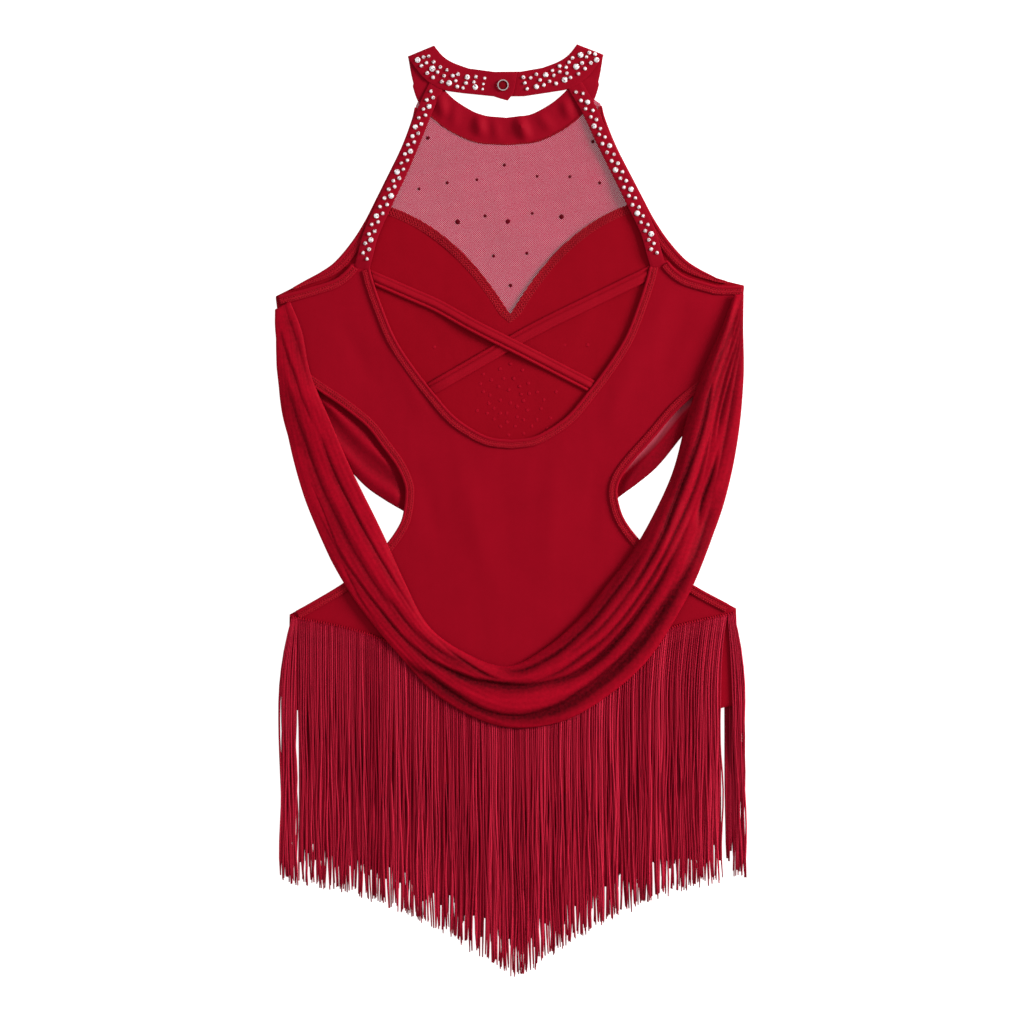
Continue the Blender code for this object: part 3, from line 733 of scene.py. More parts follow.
def bound_edge(name, line, width, heights, side, node):
    """A turned edge on the left or the right of its line, and the places of its stitches."""
    reach = side * np.array(width)
    heights = np.broadcast_to(heights, len(line))
    sections = [(*a, *b, z + TRIM / 2) for a, b, z in zip(line, beside(line, reach), heights)]
    piece, _ = ribbon(name, sections, edge_cloth, [node], TRIM, EDGE_COLUMNS, edge=EDGE_ROUND,
                      profile=EDGE_PROFILE)
    edges.append(piece)
    for share, *stitch in COVER_STITCHES:
        route = raised(beside(line, share * reach), heights + TRIM + THREAD_LIFT)
        edge_stitches.extend(stitches(route, *stitch))


scoop = both_sides(SCOOP)
scoop = scoop[scoop[:, 1] < SCOOP_END]
bound_edge("scoop_edge", scoop, BINDING, ON_BACK, -1, "binding_scoop")
for label, side, table in (("right", 1, CUTOUT_RIGHT), ("left", -1, CUTOUT_LEFT)):
    cutout = on_side(table, side)
    cutout = cutout[(cutout[:, 1] > CUTOUT_LOW) & (cutout[:, 1] < CUTOUT_HIGH)]
    bound_edge("cutout_edge_" + label, cutout, BINDING, ON_BACK, -side, "binding_cutout_" + label)
    armhole = on_side(BACK_ARMHOLE, side)[1:-1]
    bound_edge("back_armhole_edge_" + label, armhole, BINDING, ON_BACK, -side,
               "binding_back_armhole_" + label)
    rows = on_side(FRONT_BINDING, side)
    bound_edge("front_armhole_edge_" + label, rows[:, :2], rows[:, 2], rows[:, 3], -side,
               "binding_front_armhole_" + label)
edge_stitching = add_piece("edge_stitching", copies(STITCH, edge_stitches), thread)

# Cross straps
# Two narrow straps of folded jersey that run from one side of the scoop to the other and cross.
# Each is 8.5 mm wide and edge-stitched along both folds.

CROSS_STRAP = 8.5
CROSS_OVER = ((-92, 158.5, 3.0), (-53.5, 141.5, 3.0), (-26, 126, 4.5), (5, 110, 4.5), (28, 98, 3.0),
              (54.5, 84, 3.0))
CROSS_UNDER = ((95, 160.5, 3.0), (57, 142.5, 3.0), (10, 119.5, 3.0), (-50, 85.5, 3.0))
EDGE_GAP = 0.4
CROSS_COLUMNS = 12
CROSS_PROFILE = ((0, -0.2), (0.1, 0.5), (0.22, -0.1), (0.3, 0.35), (0.6, 0.8), (0.72, -0.35),
                 (0.8, -0.3), (0.9, 0.7), (1, 0.1))
CROSS_ROWS = (0.14, 0.86)
CROSS_REDS = ((0.225, 0.0013, 0.0072), (0.31, 0.0024, 0.0115))


def meet(start, toward, edge):
    """Where the way from start through toward crosses an edge, less the seam gap."""
    way = toward - start
    for first, last in zip(edge, edge[1:]):
        along = last - first
        cross = way[0] * along[1] - way[1] * along[0]
        if abs(cross) < 1e-9:
            continue
        gap = first - start
        t = (gap[0] * along[1] - gap[1] * along[0]) / cross
        s = (gap[0] * way[1] - gap[1] * way[0]) / cross
        if t > 0 and 0 <= s <= 1:
            return start + way * (t - EDGE_GAP / np.linalg.norm(way))
    return toward


whole_scoop = both_sides(SCOOP)
tape_cloth = jersey("tape_cloth", *CROSS_REDS)
for name, table in (("over", CROSS_OVER), ("under", CROSS_UNDER)):
    line = smooth_line(table)
    sides = []
    for half_width in (CROSS_STRAP / 2, -CROSS_STRAP / 2):
        side_line = beside(line[:, :2], half_width)
        side_line[0] = meet(side_line[6], side_line[0], whole_scoop)
        side_line[-1] = meet(side_line[-7], side_line[-1], whole_scoop)
        for place in range(1, 6):
            side_line[place] = side_line[0] + (side_line[6] - side_line[0]) * place / 6
            side_line[-1 - place] = side_line[-1] + (side_line[-7] - side_line[-1]) * place / 6
        sides.append(side_line)
    sections = [(*a, *b, z + WALL / 2) for a, b, z in zip(*sides, line[:, 2])]
    strap, _ = ribbon("crossed_strap_" + name, sections, tape_cloth,
                      ["cross_strap_" + name], columns=CROSS_COLUMNS, profile=CROSS_PROFILE)
    rows = []
    for share in CROSS_ROWS:
        route = raised(sides[0] + (sides[1] - sides[0]) * share, line[:, 2] + WALL + THREAD_LIFT)
        rows += stitches(route, 1.9, 1.5)
    stitching = add_piece("crossed_stitching_" + name, copies(STITCH, rows), thread)
    edges += [strap, stitching]

# Back scarf
# A scarf of fine net, cut on the bias, gathered into the side seams and hung in folds over the back.
# Its folds are listed one by one, each crease between them with a run, a width and a depth of its own.
# Its colour carries painted shade: darker down in the creases, round them, and towards the sides that turn
# from the light.

DRAPE = 1.5
SCARF_Z = 6.0
BACK_SCARF = ((-161.5, 138, -151, 143.5), (-162, 119.5, -143, 122.5), (-159.5, 88.5, -137.5, 94),
              (-157, 57.5, -124.5, 62), (-145.5, 16, -109.5, 26.5), (-128, -25, -91, -11.5),
              (-106.5, -64.5, -76, -45.5), (-79, -99.5, -59.5, -78), (-50.5, -129.5, -37, -96.5),
              (-9.5, -149.5, -5.5, -108.5), (32, -147, 22, -96), (66.5, -128, 46, -75.5),
              (94, -103, 63.5, -54.5), (117.5, -66.5, 81, -32.5), (134, -32, 97.5, -4.5),
              (146.5, 2.5, 111, 25), (156, 47, 121, 62), (160, 88.5, 131.5, 92.5),
              (160, 122.5, 145, 122.5), (160.5, 145.5, 154, 145.5))
SCARF_SECTIONS = 230
SCARF_COLUMNS = 90
SCARF_RISE = ((0.0, 1.2), (0.12, 2.4), (0.3, 2.9), (0.5, 3.2), (0.75, 3.0), (0.9, 2.2), (1.0, 1.2))
SCARF_STAND = ((0.0, 0.0), (0.35, 0.3), (0.5, 2.0), (0.6, 3.6), (0.86, 3.8), (0.95, 1.8), (1.0, 0.0))
# Painted shade along the scarf: darker towards its inner edge, and on the right towards its outer edge,
# where these sides turn from the light.
INNER_SHADE = ((0.0, 0.16), (0.4, 0.16), (0.5, 0.3), (0.6, 0.42), (0.9, 0.5), (1.0, 0.3))
OUTER_SHADE = ((0.0, 0.0), (0.62, 0.0), (0.75, 0.22), (0.95, 0.22), (1.0, 0.1))
SCARF_WAVES = ((0.0, 0.0), (0.03, 0.02), (0.055, 0.05), (0.09, -0.02), (0.12, 0.0), (0.167, 0.06),
               (0.222, 0.0), (0.275, -0.03), (0.33, 0.0), (0.7, 0.0), (0.76, 0.02), (0.82, 0.0),
               (1.0, 0.0))
SCARF_ROUND = 0.45
ROLL_START = 0.45
ROLL_LATE = 1.3
ROLL_ROUND = 1.2

# A crease each: its half width, then stops of how far along, how far across and how deep
SCARF_CREASES = (
    (2.3, (0.375, 0.04, 0.4), (0.389, 0.09, 1.2), (0.404, 0.2, 2.0), (0.429, 0.21, 2.2),
     (0.454, 0.19, 1.8), (0.48, 0.19, 1.9), (0.5, 0.19, 2.2), (0.528, 0.21, 3.0), (0.556, 0.225, 3.6),
     (0.611, 0.235, 3.6), (0.662, 0.23, 3.0), (0.687, 0.21, 2.0), (0.715, 0.17, 1.3), (0.74, 0.16, 1.1),
     (0.765, 0.19, 0.9), (0.798, 0.235, 0.2)),
    (1.7, (0.227, 0.105, 0.2), (0.265, 0.16, 0.8), (0.303, 0.24, 1.0), (0.333, 0.3, 1.1),
     (0.361, 0.35, 1.2), (0.389, 0.44, 1.4), (0.414, 0.54, 1.7), (0.444, 0.62, 2.5), (0.462, 0.69, 2.7),
     (0.48, 0.69, 2.7), (0.5, 0.63, 2.2), (0.525, 0.555, 1.8), (0.55, 0.49, 2.4), (0.576, 0.465, 2.7),
     (0.611, 0.47, 2.7), (0.664, 0.47, 2.1), (0.727, 0.46, 1.1), (0.76, 0.45, 0.2)),
    (1.2, (0.5, 0.64, 0.3), (0.538, 0.62, 1.4), (0.566, 0.61, 1.6), (0.6, 0.585, 1.5),
     (0.677, 0.585, 1.6), (0.727, 0.585, 1.6), (0.778, 0.575, 1.5), (0.816, 0.545, 1.2),
     (0.84, 0.52, 0.3)),
    (1.3, (0.55, 0.745, 0.3), (0.611, 0.715, 1.1), (0.66, 0.725, 1.3), (0.722, 0.745, 2.1),
     (0.753, 0.78, 2.1), (0.778, 0.795, 2.1), (0.803, 0.77, 2.1), (0.833, 0.705, 2.1),
     (0.866, 0.705, 1.7), (0.889, 0.725, 0.2)),
    (2.4, (0.09, 0.12, 0.2), (0.11, 0.2, 0.5), (0.13, 0.28, 0.8), (0.167, 0.33, 1.0),
     (0.222, 0.37, 1.1), (0.25, 0.39, 1.1), (0.278, 0.42, 1.1), (0.32, 0.49, 1.0), (0.333, 0.56, 1.0),
     (0.36, 0.63, 1.0), (0.389, 0.72, 1.1), (0.42, 0.78, 1.0), (0.454, 0.8, 0.3)),
    (1.5, (0.045, 0.2, 0.2), (0.058, 0.24, 0.7), (0.083, 0.39, 1.0), (0.101, 0.5, 0.9), (0.131, 0.56, 0.6),
     (0.16, 0.62, 0.2)),
    (1.3, (0.753, 0.275, 0.2), (0.773, 0.37, 1.6), (0.79, 0.38, 1.9), (0.806, 0.35, 1.6),
     (0.825, 0.33, 0.2)),
    (1.2, (0.833, 0.39, 0.2), (0.854, 0.405, 1.4), (0.869, 0.385, 1.4), (0.885, 0.36, 0.2)),
    (1.1, (0.394, 0.91, 0.2), (0.429, 0.855, 1.3), (0.454, 0.8, 1.3), (0.47, 0.77, 0.2)),
    (1.1, (0.462, 0.97, 0.2), (0.5, 0.875, 1.3), (0.56, 0.86, 1.4), (0.64, 0.87, 1.2), (0.7, 0.88, 0.2)),
    (1.2, (0.17, 0.7, 0.2), (0.2, 0.68, 1.0), (0.26, 0.72, 1.1), (0.31, 0.8, 0.9), (0.35, 0.88, 0.2)),
    (1.0, (0.2, 0.2, 0.2), (0.24, 0.22, 0.7), (0.3, 0.12, 0.6), (0.34, 0.06, 0.2)),
    (2.4, (0.0, 0.62, 0.5), (0.04, 0.66, 0.8), (0.08, 0.8, 0.8), (0.12, 0.9, 0.2)),
    (1.3, (0.8, 0.47, 0.3), (0.86, 0.49, 1.2), (0.9, 0.43, 1.2), (0.925, 0.3, 0.9), (0.945, 0.17, 0.6),
     (0.965, 0.08, 0.2)),
    (1.1, (0.84, 0.4, 0.3), (0.87, 0.38, 1.3), (0.9, 0.3, 0.9), (0.925, 0.2, 0.7), (0.945, 0.1, 0.5),
     (0.955, 0.04, 0.2)),
    (1.6, (0.83, 0.6, 0.3), (0.87, 0.6, 1.0), (0.91, 0.52, 1.0), (0.94, 0.38, 0.8), (0.965, 0.22, 0.5),
     (0.98, 0.12, 0.2)),
    (1.2, (0.8, 0.25, 0.3), (0.85, 0.24, 1.1), (0.89, 0.2, 0.8), (0.92, 0.12, 0.5), (0.94, 0.06, 0.2)),
    (2.0, (0.87, 0.78, 0.3), (0.91, 0.7, 1.0), (0.95, 0.54, 1.0), (0.98, 0.34, 0.6), (1.0, 0.25, 0.3)))
CREASE_OUT = 1.7
CREASE_IN = 0.85
CREASE_SHARP = 1.25
# Painted shade: how much darker the creases, the broad ground round them and the troughs of the grain are
# coloured.
CREASE_SHADE = 0.5
BROAD_SHADE = 0.16
BROAD_SPREAD = 2.4
GRAIN_RISE = 0.08
GRAIN_SHADE = 0.05
SINK_START = 10.0
SINK_SLOPE = 0.15
SINK_LIMIT = 4.6
SIDE = ((161, 145.5), (158, 119.5), (155.5, 98))
# Dark and light ends of the drape colour, mixed by its painted shade.
DRAPE_REDS = ((0.045, 0.0002, 0.002), (0.35, 0.0014, 0.012))
SHEER_PALE = (0.62, 0.12, 0.17)


def drape_finish(name, dark, light):
    """Net whose colour carries painted shade from the fold attribute: dark down in the creases, pale where
    only one layer lies.
    """
    made, tree, shader, place = blank_finish(name, 0.6, 0.03, 0.1)
    # The fold attribute holds painted shade.
    depth = add_node(tree, "Attribute", {"attribute_name": "fold"}).outputs["Fac"]
    grain = combine(tree, "MULTIPLY", bands(tree, place, "X", 0.9), bands(tree, place, "Y", 0.9))
    clouds = patches(tree, place, 45.0, 3.0)
    fuzz = patches(tree, place, 520.0, 2.0)
    share = weighed(tree, (depth, 0.78), (grain, 0.08), (clouds, 0.25), (fuzz, 0.5), (1.0, -0.27))
    sheer = add_node(tree, "Mix", {"data_type": "RGBA"})
    sheer.inputs["B"].default_value = (*SHEER_PALE, 1)
    tree.links.new(blend_colours(tree, dark, light, share), sheer.inputs["A"])
    tree.links.new(combine(tree, "SUBTRACT", depth, 1.0), sheer.inputs["Factor"])
    tree.links.new(sheer.outputs["Result"], shader.inputs["Base Color"])
    add_bump(tree, shader, grain, 0.05, 0.4)
    return made


def past_cutout(points):
    """How far each point lies outside the bodies' side edge, or 0 over the cloth."""
    result = np.zeros(len(points))
    for side, table in ((1, CUTOUT_RIGHT), (-1, CUTOUT_LEFT)):
        edge = np.vstack([smooth_line(SIDE), smooth_line(table)])
        order = edge[:, 1].argsort()
        across = points[:, 0] * side
        outside = across > np.interp(points[:, 1], edge[order, 1], edge[order, 0])
        away = np.hypot(edge[:, 0] - across[:, None], edge[:, 1] - points[:, 1, None]).min(1)
        result = np.where(outside & (across > 0), away, result)
    return result


def folded_strip(sections, columns, place, wall):
    """A gathered sheet from place, which gives points and their painted shade, kept in the fold attribute.
    """
    bm = bmesh.new()
    bmesh.ops.create_grid(bm, x_segments=columns, y_segments=sections, size=0.5)
    fold = bm.verts.layers.float.new("fold")
    shares = np.array([(vert.co.x + 0.5, vert.co.y + 0.5) for vert in bm.verts])
    points, painted_shades = place(shares[:, 0], shares[:, 1])
    for vert, point, depth in zip(bm.verts, points, painted_shades):
        vert.co = point
        vert[fold] = depth
    area = sheet_area(bm)
    grown = bmesh.ops.extrude_face_region(bm, geom=bm.faces[:])["geom"]
    top = [item for item in grown if isinstance(item, bmesh.types.BMVert)]
    bmesh.ops.translate(bm, vec=(0, 0, wall), verts=top)
    bmesh.ops.recalc_face_normals(bm, faces=bm.faces[:])
    return bm, area


def back_scarf_place(across, along):
    """Points of the back scarf and their painted shade, for shares up across it and along it."""
    line = smooth_line(BACK_SCARF)
    places = np.linspace(0, 1, len(line))
    rows = np.stack([np.interp(along, places, line[:, column]) for column in range(4)], axis=1)
    span = np.linalg.norm(rows[:, 2:] - rows[:, :2], axis=1)
    rounded = np.sin(math.pi * np.clip(across, 0, 1)) ** SCARF_ROUND
    rolled = np.clip((across - ROLL_START) / (1 - ROLL_START), 0, 1) ** ROLL_LATE
    height = np.interp(along, *zip(*SCARF_RISE)) * rounded
    height += np.interp(along, *zip(*SCARF_STAND)) * np.sin(math.pi * rolled) ** ROLL_ROUND
    valley = np.zeros(len(across))
    broad = np.zeros(len(across))
    for width, *stops in SCARF_CREASES:
        path = smooth_line(stops, 4)
        away = (across - np.interp(along, path[:, 0], path[:, 1])) * span
        deep = np.interp(along, path[:, 0], path[:, 2], 0, 0)
        reach = width * np.where(away < 0, CREASE_OUT, CREASE_IN)
        valley = np.maximum(valley, deep * np.exp(-(np.abs(away) / reach) ** CREASE_SHARP))
        broad = np.maximum(broad, deep * np.exp(-(away / (BROAD_SPREAD * reach)) ** 2))
    grain = np.sin(across * 41 + 5 * np.sin(along * 23)) * np.sin(along * 37 + across * 3)
    grain += 0.7 * np.sin(across * 67 - 7 * np.sin(along * 17 + 1))
    height += GRAIN_RISE * grain * np.sin(math.pi * along) - np.minimum(valley, height + 0.2)
    # Painted shade: darker in the creases, round them and in the troughs of the grain, and towards the
    # edges that turn from the light.
    shaded = 1.0 - CREASE_SHADE * valley - BROAD_SHADE * broad + GRAIN_SHADE * grain
    shaded -= np.interp(along, *zip(*INNER_SHADE)) * np.clip((across - 0.6) / 0.3, 0, 1)
    shaded -= np.interp(along, *zip(*OUTER_SHADE)) * np.clip((0.45 - across) / 0.3, 0, 1)
    wave = np.interp(along, *zip(*SCARF_WAVES)) * (1 - across) ** 2
    points = rows[:, :2] + (rows[:, 2:] - rows[:, :2]) * (across + wave)[:, None]
    sink = np.clip((past_cutout(points) - SINK_START) * SINK_SLOPE, 0, SINK_LIMIT)
    return np.column_stack([points, SCARF_Z - sink + height]), np.clip(shaded, 0, 1)


drape_net = drape_finish("drape_net", *DRAPE_REDS)
bm, scarf_area = folded_strip(SCARF_SECTIONS, SCARF_COLUMNS, back_scarf_place, DRAPE)
back_scarf = add_piece("back_scarf", bm, drape_net, ["back_swag"])

# Front scarf
# Its match on the front, a single sheer layer seen through the cut-outs under the back.
# It lies on the table, thinner and paler along the body at the right.
# On the left its colour carries painted shade in the troughs of its folds.

FRONT_SCARF = ((0, 21, -28.5), (20.5, 24.5, -26.5), (41, 30.5, -19), (59, 41, -9), (73.5, 52, 2.5),
               (87, 64, 11.5), (101, 79, 22.5), (117, 97, 41), (130, 111, 56), (141, 122.5, 69),
               (151, 132, 89), (159.5, 140, 112.5))
FRONT_TILT = ((0, 0), (117, 7), (159.5, 0))
FRONT_RISE = 3.0
FRONT_SLOPE = 0.8
FRONT_ROOM = 1.5
FRONT_SECTIONS = 150
FRONT_COLUMNS = 40
# Dark and light ends of the front scarf colour, mixed by its painted shade.
FRONT_NET_REDS = ((0.08, 0.0004, 0.003), (0.29, 0.0012, 0.0105))


def front_scarf_place(across, along):
    """Points of the front scarf and their painted shade, for shares up across it and along it."""
    half = smooth_line(FRONT_SCARF)
    line = np.vstack([half[::-1] * (-1, 1, 1), half[1:]])
    places = np.linspace(0, 1, len(line))
    x, upper, lower = (np.interp(along, places, column) for column in line.T)
    tilt = np.sign(x) * np.interp(np.abs(x), *zip(*FRONT_TILT))
    y = lower + (upper - lower) * across + tilt
    points = np.column_stack([x, y])
    room = np.clip((past_cutout(points) - FRONT_ROOM) * FRONT_SLOPE, 0, FRONT_RISE)
    folds = np.where(x > 0, 1.6, 2.3) + 0.4 * np.sin(along * 9)
    wave = (0.5 - 0.5 * np.cos(2 * math.pi * (across * folds + 0.1))) ** 1.3
    # Painted shade: on the left darker in the troughs of the folds; on the right darker along the lower
    # edge and pale higher up, where one sheer layer lies.
    shade = np.where(x > 0, 0.5 + 1.1 * np.clip(across * 6 - 1.1, 0, 1), 0.5 + 0.44 * wave)
    return np.column_stack([points, room * (0.5 + 0.5 * wave)]), shade


front_net = drape_finish("front_net", *FRONT_NET_REDS)
bm, front_scarf_area = folded_strip(FRONT_SECTIONS, FRONT_COLUMNS, front_scarf_place, WALL)
front_scarf = add_piece("front_scarf", bm, front_net, ["front_swag"])

# Fringes
# Chainette fringe: glossy rayon cords in loops, chain-stitched to a narrow tape that is sewn round
# the hips. The front one, under the back, is a little shorter. The cords part at both hips.

TAPE = 6.0
TAPE_LINE = ((0, -140), (14, -131), (27.5, -122), (41, -113), (59, -103), (76.5, -94.5), (96, -86),
             (116, -80), (134, -76), (152, -72.5))
HEM = ((0, -320.5), (14, -312), (27.5, -303), (41, -294), (59, -283.5), (76.5, -275.5), (96, -267),
       (116, -261), (141, -255.5), (164, -252))
LEG = ((155.5, -136.5), (141, -139), (117, -148), (82.5, -167.5), (48, -188), (26, -200.5),
       (18, -207), (0, -208.5))
ROOT_HALF = 152.0
BACK_SPREAD = ((-152, -161), (-149.3, -155), (-149.2, -153.2), (-147.8, -149.6), (-147.7, -148),
               (0, 0), (147.5, 141.5), (147.6, 149.8), (152, 159.5))
FRONT_SPREAD = ((-152, -160), (-147.5, -151), (-147.4, -148), (0, 0), (143.5, 141.5),
                (143.6, 145.1), (152, 153.5))
CORNER_ROOTS = (*np.linspace(-151.8, -147.9, 15), *np.linspace(147.8, 151.7, 13))
BACK_FRINGE = {"count": 440, "tape_z": 5.4, "hem_z": 2.3, "cut": 0, "radius": 0.52, "loose": 1.0,
               "ragged": 2.6}
FRONT_FRINGE = {"count": 330, "tape_z": 0.8, "hem_z": 0.8, "cut": 20, "radius": 0.9, "loose": 0.25,
                "ragged": 9.0}
TAPE_SEAM = 0.6
STRAND_RINGS = 15
STRAND_SIDES = 4
PAIR_GAP = 0.5
PAIR_LENGTH = 22.0
LEAN_LENGTH = 60.0
FREE_LENGTH = 110.0
SETTLE_LENGTH = 14.0
LEG_DROP = 60.0
TIP_START = 0.985
TIP_THIN = 0.35
LEAST_HEIGHT = 0.05
FRINGE_SEED = 5
LINK = 1.1
RAYON_REDS = ((0.19, 0.0007, 0.009), (0.48, 0.014, 0.040))
# A darker copy of the rayon colours: painted shade for the front cords, which lie under the back ones.
SHADED_REDS = ((0.15, 0.0006, 0.007), (0.36, 0.008, 0.028))
# Darker red for the back tape: painted shade in the gaps between the heads of the cords.
SHADED_TAPE_REDS = ((0.10, 0.0004, 0.004), (0.15, 0.0008, 0.006))
TAPE_WALL = 0.5
BACK_TAPE_Z = 4.8
FRONT_TAPE_Z = 0.5
LOOP_PITCH = 1.8
LOOP_SIZE = (2.2, 1.4, 1.2)


def strand_shape():
    """A straight cord one unit long, in rings that can be moved apart."""
    bm = bar(STRAND_SIDES, 1.0, STRAND_RINGS - 1)
    bmesh.ops.recalc_face_normals(bm, faces=bm.faces[:])
    return as_mesh("strand", bm)


def level(points, across):
    """How far up a half outline lies, at distances from the middle."""
    line = smooth_line(points)
    order = line[:, 0].argsort()
    return np.interp(np.abs(across), line[order, 0], line[order, 1])


def fringe(count, tape_z, hem_z, cut, radius, loose, ragged, spread, corner_roots):
    """The cords of one fringe, each a bent copy of one strand, in pairs at the tape, as a mesh."""
    shape = np.array([vert.co for vert in STRAND.vertices])
    down = 0.5 - shape[:, 2]
    spaced = count - len(corner_roots)
    root = -ROOT_HALF + (np.arange(spaced) + 0.5) * 2 * ROOT_HALF / spaced
    root = np.concatenate([root, corner_roots])
    noise = np.random.default_rng(FRINGE_SEED + count).uniform(-1, 1, (count, 8))
    hem = np.interp(root, *zip(*spread))
    top = level(TAPE_LINE, root) - TAPE_SEAM
    bottom = level(HEM, hem) + cut + ragged * noise[:, 0] + 1.6 * np.sin(root * 0.9)
    leg = np.minimum(level(LEG, root), top - 10)
    up = top[:, None] + (bottom - top)[:, None] * down
    drop = top[:, None] - up
    lean = np.clip(drop / LEAN_LENGTH, 0, 1)
    apart = np.clip(drop / PAIR_LENGTH, 0, 1)
    free = np.clip(drop / FREE_LENGTH, 0, 1)
    settle = np.clip(drop / SETTLE_LENGTH, 0, 1)

    # Across: in pairs at the tape, fanned out below it, then clumped and waved where they hang free
    odd = np.arange(count) % 2 == 1
    drawn_in = np.where(odd, 1, -1) * (PAIR_GAP - 2 * ROOT_HALF / count) / 2
    across = root[:, None] + drawn_in[:, None] * (1 - apart)
    across += (hem - root)[:, None] * lean * (2 - lean)
    clump = 0.5 * np.sin(root * 0.55 + 1.2) + 0.4 * np.sin(root * 1.07) + 0.6 * np.sin(root * 0.23)
    across += loose * free ** 1.5 * (clump + 1.1 * noise[:, 1])[:, None]
    waves = np.sin(down * (10 + 5 * noise[:, 2, None]) + 6 * noise[:, 3, None])
    across += 0.9 * loose * free * waves

    # Up from the table: two layers that part below the tape and come down past the leg openings
    thick = radius * (1 - TIP_THIN * (down > TIP_START)) * (1 + 0.12 * noise[:, 6, None])
    thick = thick * (0.6 + 0.4 * apart) * (1 + 0.2 * free)
    fall = np.clip((leg[:, None] - up) / LEG_DROP, 0, 1)
    height = tape_z + (hem_z - tape_z) * fall * fall * (3 - 2 * fall)
    height += settle * (np.where(odd, 0.35, -0.25) + 0.2 * noise[:, 4])[:, None]
    height += 0.3 * free * np.sin(down * 9 + 6 * noise[:, 5, None])
    height = np.maximum(height, thick + LEAST_HEIGHT)

    points = np.stack([across + shape[:, 0] * thick, up, height + shape[:, 1] * thick], axis=2)
    tones = np.repeat(0.5 + 0.5 * noise[:, 7], len(shape))
    bm = bmesh.new()
    for _ in range(count):
        bm.from_mesh(STRAND)
    tone = bm.verts.layers.float.new("tone")
    length = bm.verts.layers.float.new("length")
    for vert, point, shade, run in zip(bm.verts, points.reshape(-1, 3), tones, drop.ravel()):
        vert.co = point
        vert[tone] = shade
        vert[length] = run
    return bm


def rayon_finish(name, dark, light):
    """Glossy chainette cord: a chain of small links along each strand, and strands that vary."""
    made, tree, shader, _ = blank_finish(name, 0.42, 0.04)
    tone = add_node(tree, "Attribute", {"attribute_name": "tone"}).outputs["Fac"]
    run = add_node(tree, "Attribute", {"attribute_name": "length"}).outputs["Fac"]
    links = combine(tree, "SINE", combine(tree, "MULTIPLY", run, 2 * math.pi / LINK), 0)
    share = weighed(tree, (combine(tree, "POWER", tone, 2.0), 0.85), (links, 0.1), (1.0, 0.2))
    tree.links.new(blend_colours(tree, dark, light, share), shader.inputs["Base Color"])
    add_bump(tree, shader, links, 0.08, 0.4)
    return made


def tape(name, z, finish):
    """The narrow tape that the loops are stitched to."""
    sections = [(x, y, x, y - TAPE, z) for x, y in both_sides(TAPE_LINE) if abs(x) <= ROOT_HALF]
    piece, _ = ribbon(name, sections, finish, [], TAPE_WALL, 2, edge=0.15)
    return piece


def loop_heads(z):
    """Places of small loops along the top of the tape, where each cord turns back."""
    upper = raised(beside(both_sides(TAPE_LINE), -0.8), z)
    return [(*point, turn + math.pi / 2, *LOOP_SIZE) for point, turn in zip(*evenly(upper, LOOP_PITCH))]


STRAND = strand_shape()
rayon = rayon_finish("rayon_cord", *RAYON_REDS)
# The front cords take the darker copy, painted shade under the back fringe.
shaded_rayon = rayon_finish("shaded_cord", *SHADED_REDS)
# The back tape takes the darker red, painted shade between the cords.
shaded_tape = jersey("shaded_tape", *SHADED_TAPE_REDS)
back_tape = tape("back_fringe_tape", BACK_TAPE_Z, shaded_tape)
loops = copies(STITCH, loop_heads(BACK_FRINGE["tape_z"]))
back_heads = add_piece("back_fringe_heads", loops, edge_cloth)
strands = fringe(**BACK_FRINGE, spread=BACK_SPREAD, corner_roots=CORNER_ROOTS)
back_cords = add_piece("back_fringe_cords", strands, rayon, ["back_fringe"])
front_tape = tape("front_fringe_tape", FRONT_TAPE_Z, edge_cloth)
strands = fringe(**FRONT_FRINGE, spread=FRONT_SPREAD, corner_roots=())
front_cords = add_piece("front_fringe_cords", strands, shaded_rayon, ["front_fringe"])

# Table and light
# The garment lies on a white light table in a pale room, under a soft light from its right and a
# weak one from its left. The camera looks straight down, turned as the garment lies askew.

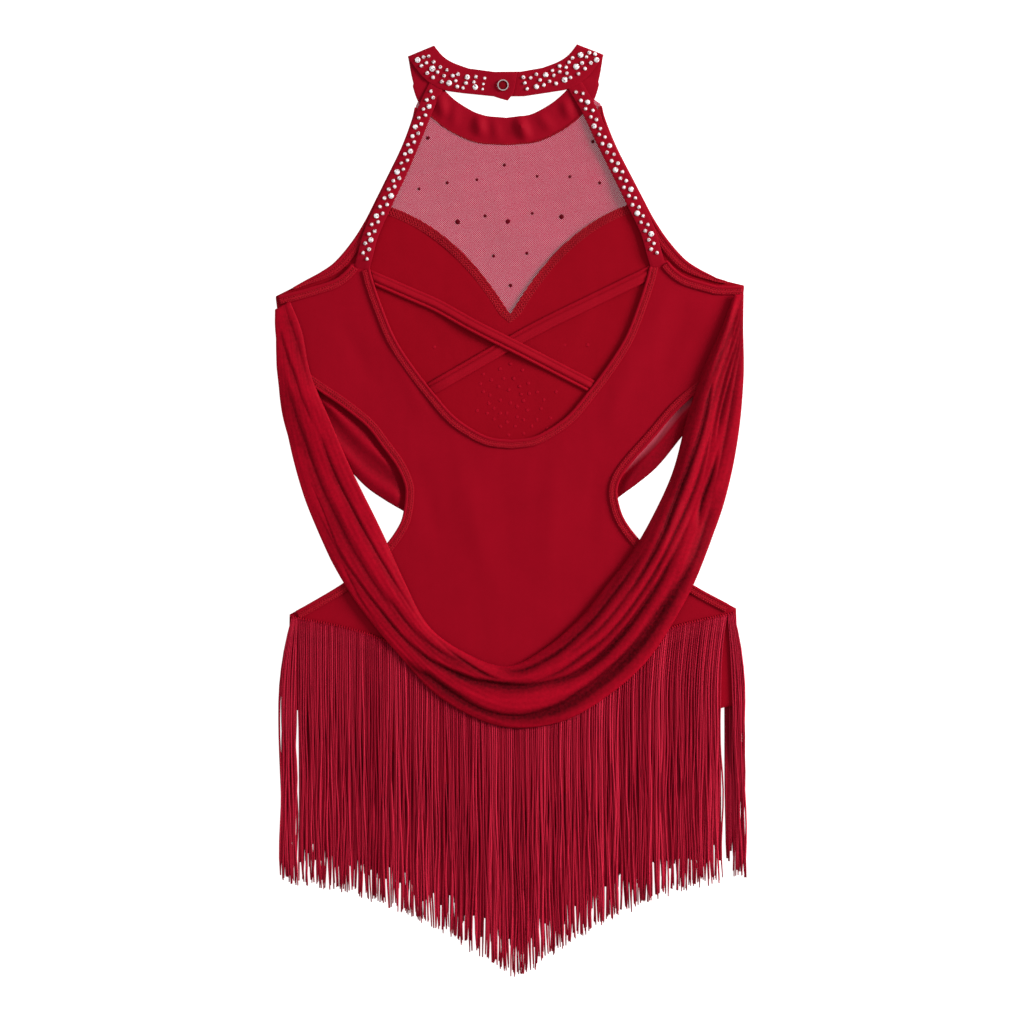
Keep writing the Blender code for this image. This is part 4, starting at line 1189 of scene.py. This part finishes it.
TABLE_SIZE = 40.0
TABLE_DROP = 0.0003
TABLE_GLOW = 0.93
TABLE_GREYS = ((0.42, 0.42, 0.42), (0.46, 0.46, 0.46))
ROOM = 0.5
KEY_PLACE = (2.6, 0.9, 1.35)
KEY_SIZE = 1.2
KEY_POWER = 148.0
FILL_PLACE = (-0.9, 1.0, 1.9)
FILL_SIZE = 1.6
FILL_POWER = 6.0
VIEW_WIDTH = 0.704
VIEW_CENTRE = (-0.0007, -0.0014)
VIEW_LEVEL = 0.004
VIEW_TURN = -0.009
LENS = 135.0
SENSOR = 36.0


def table_finish():
    """Matt white glass, lit from below, with the faintest mottling."""
    made, tree, shader, place = blank_finish("table_glass", 0.9)
    shader.inputs["Emission Color"].default_value = (1, 1, 1, 1)
    shader.inputs["Emission Strength"].default_value = TABLE_GLOW
    glass = blend_colours(tree, *TABLE_GREYS, patches(tree, place, 3.0, 2.0))
    tree.links.new(glass, shader.inputs["Base Color"])
    return made


def soft_light(name, place, size, power):
    """A square softbox that faces the middle of the garment."""
    lamp = bpy.data.lights.new(name, "AREA")
    lamp.shape = "SQUARE"
    lamp.size = size
    lamp.energy = power
    holder = bpy.data.objects.new(name, lamp)
    holder.location = place
    holder.rotation_euler = holder.location.to_track_quat("Z", "Y").to_euler()
    bpy.context.scene.collection.objects.link(holder)


bm = bmesh.new()
bmesh.ops.create_grid(bm, x_segments=1, y_segments=1, size=TABLE_SIZE)
bmesh.ops.translate(bm, vec=(0, 0, -TABLE_DROP), verts=bm.verts[:])
floor = bpy.data.objects.new("table", as_mesh("table", bm))
floor.data.materials.append(table_finish())
bpy.context.scene.collection.objects.link(floor)

world = bpy.data.worlds.new("room")
bpy.context.scene.world = world
world.use_nodes = True
background = world.node_tree.nodes["Background"]
background.inputs["Color"].default_value = (1, 1, 1, 1)
background.inputs["Strength"].default_value = ROOM
soft_light("key_light", KEY_PLACE, KEY_SIZE, KEY_POWER)
soft_light("fill_light", FILL_PLACE, FILL_SIZE, FILL_POWER)

lens = bpy.data.cameras.new("camera")
lens.lens = LENS
lens.sensor_width = SENSOR
camera = bpy.data.objects.new("camera", lens)
camera.location = (*VIEW_CENTRE, VIEW_WIDTH * LENS / SENSOR + VIEW_LEVEL)
camera.rotation_euler = (0, 0, VIEW_TURN)
bpy.context.scene.collection.objects.link(camera)
bpy.context.scene.camera = camera
bpy.context.scene.view_settings.view_transform = "Standard"
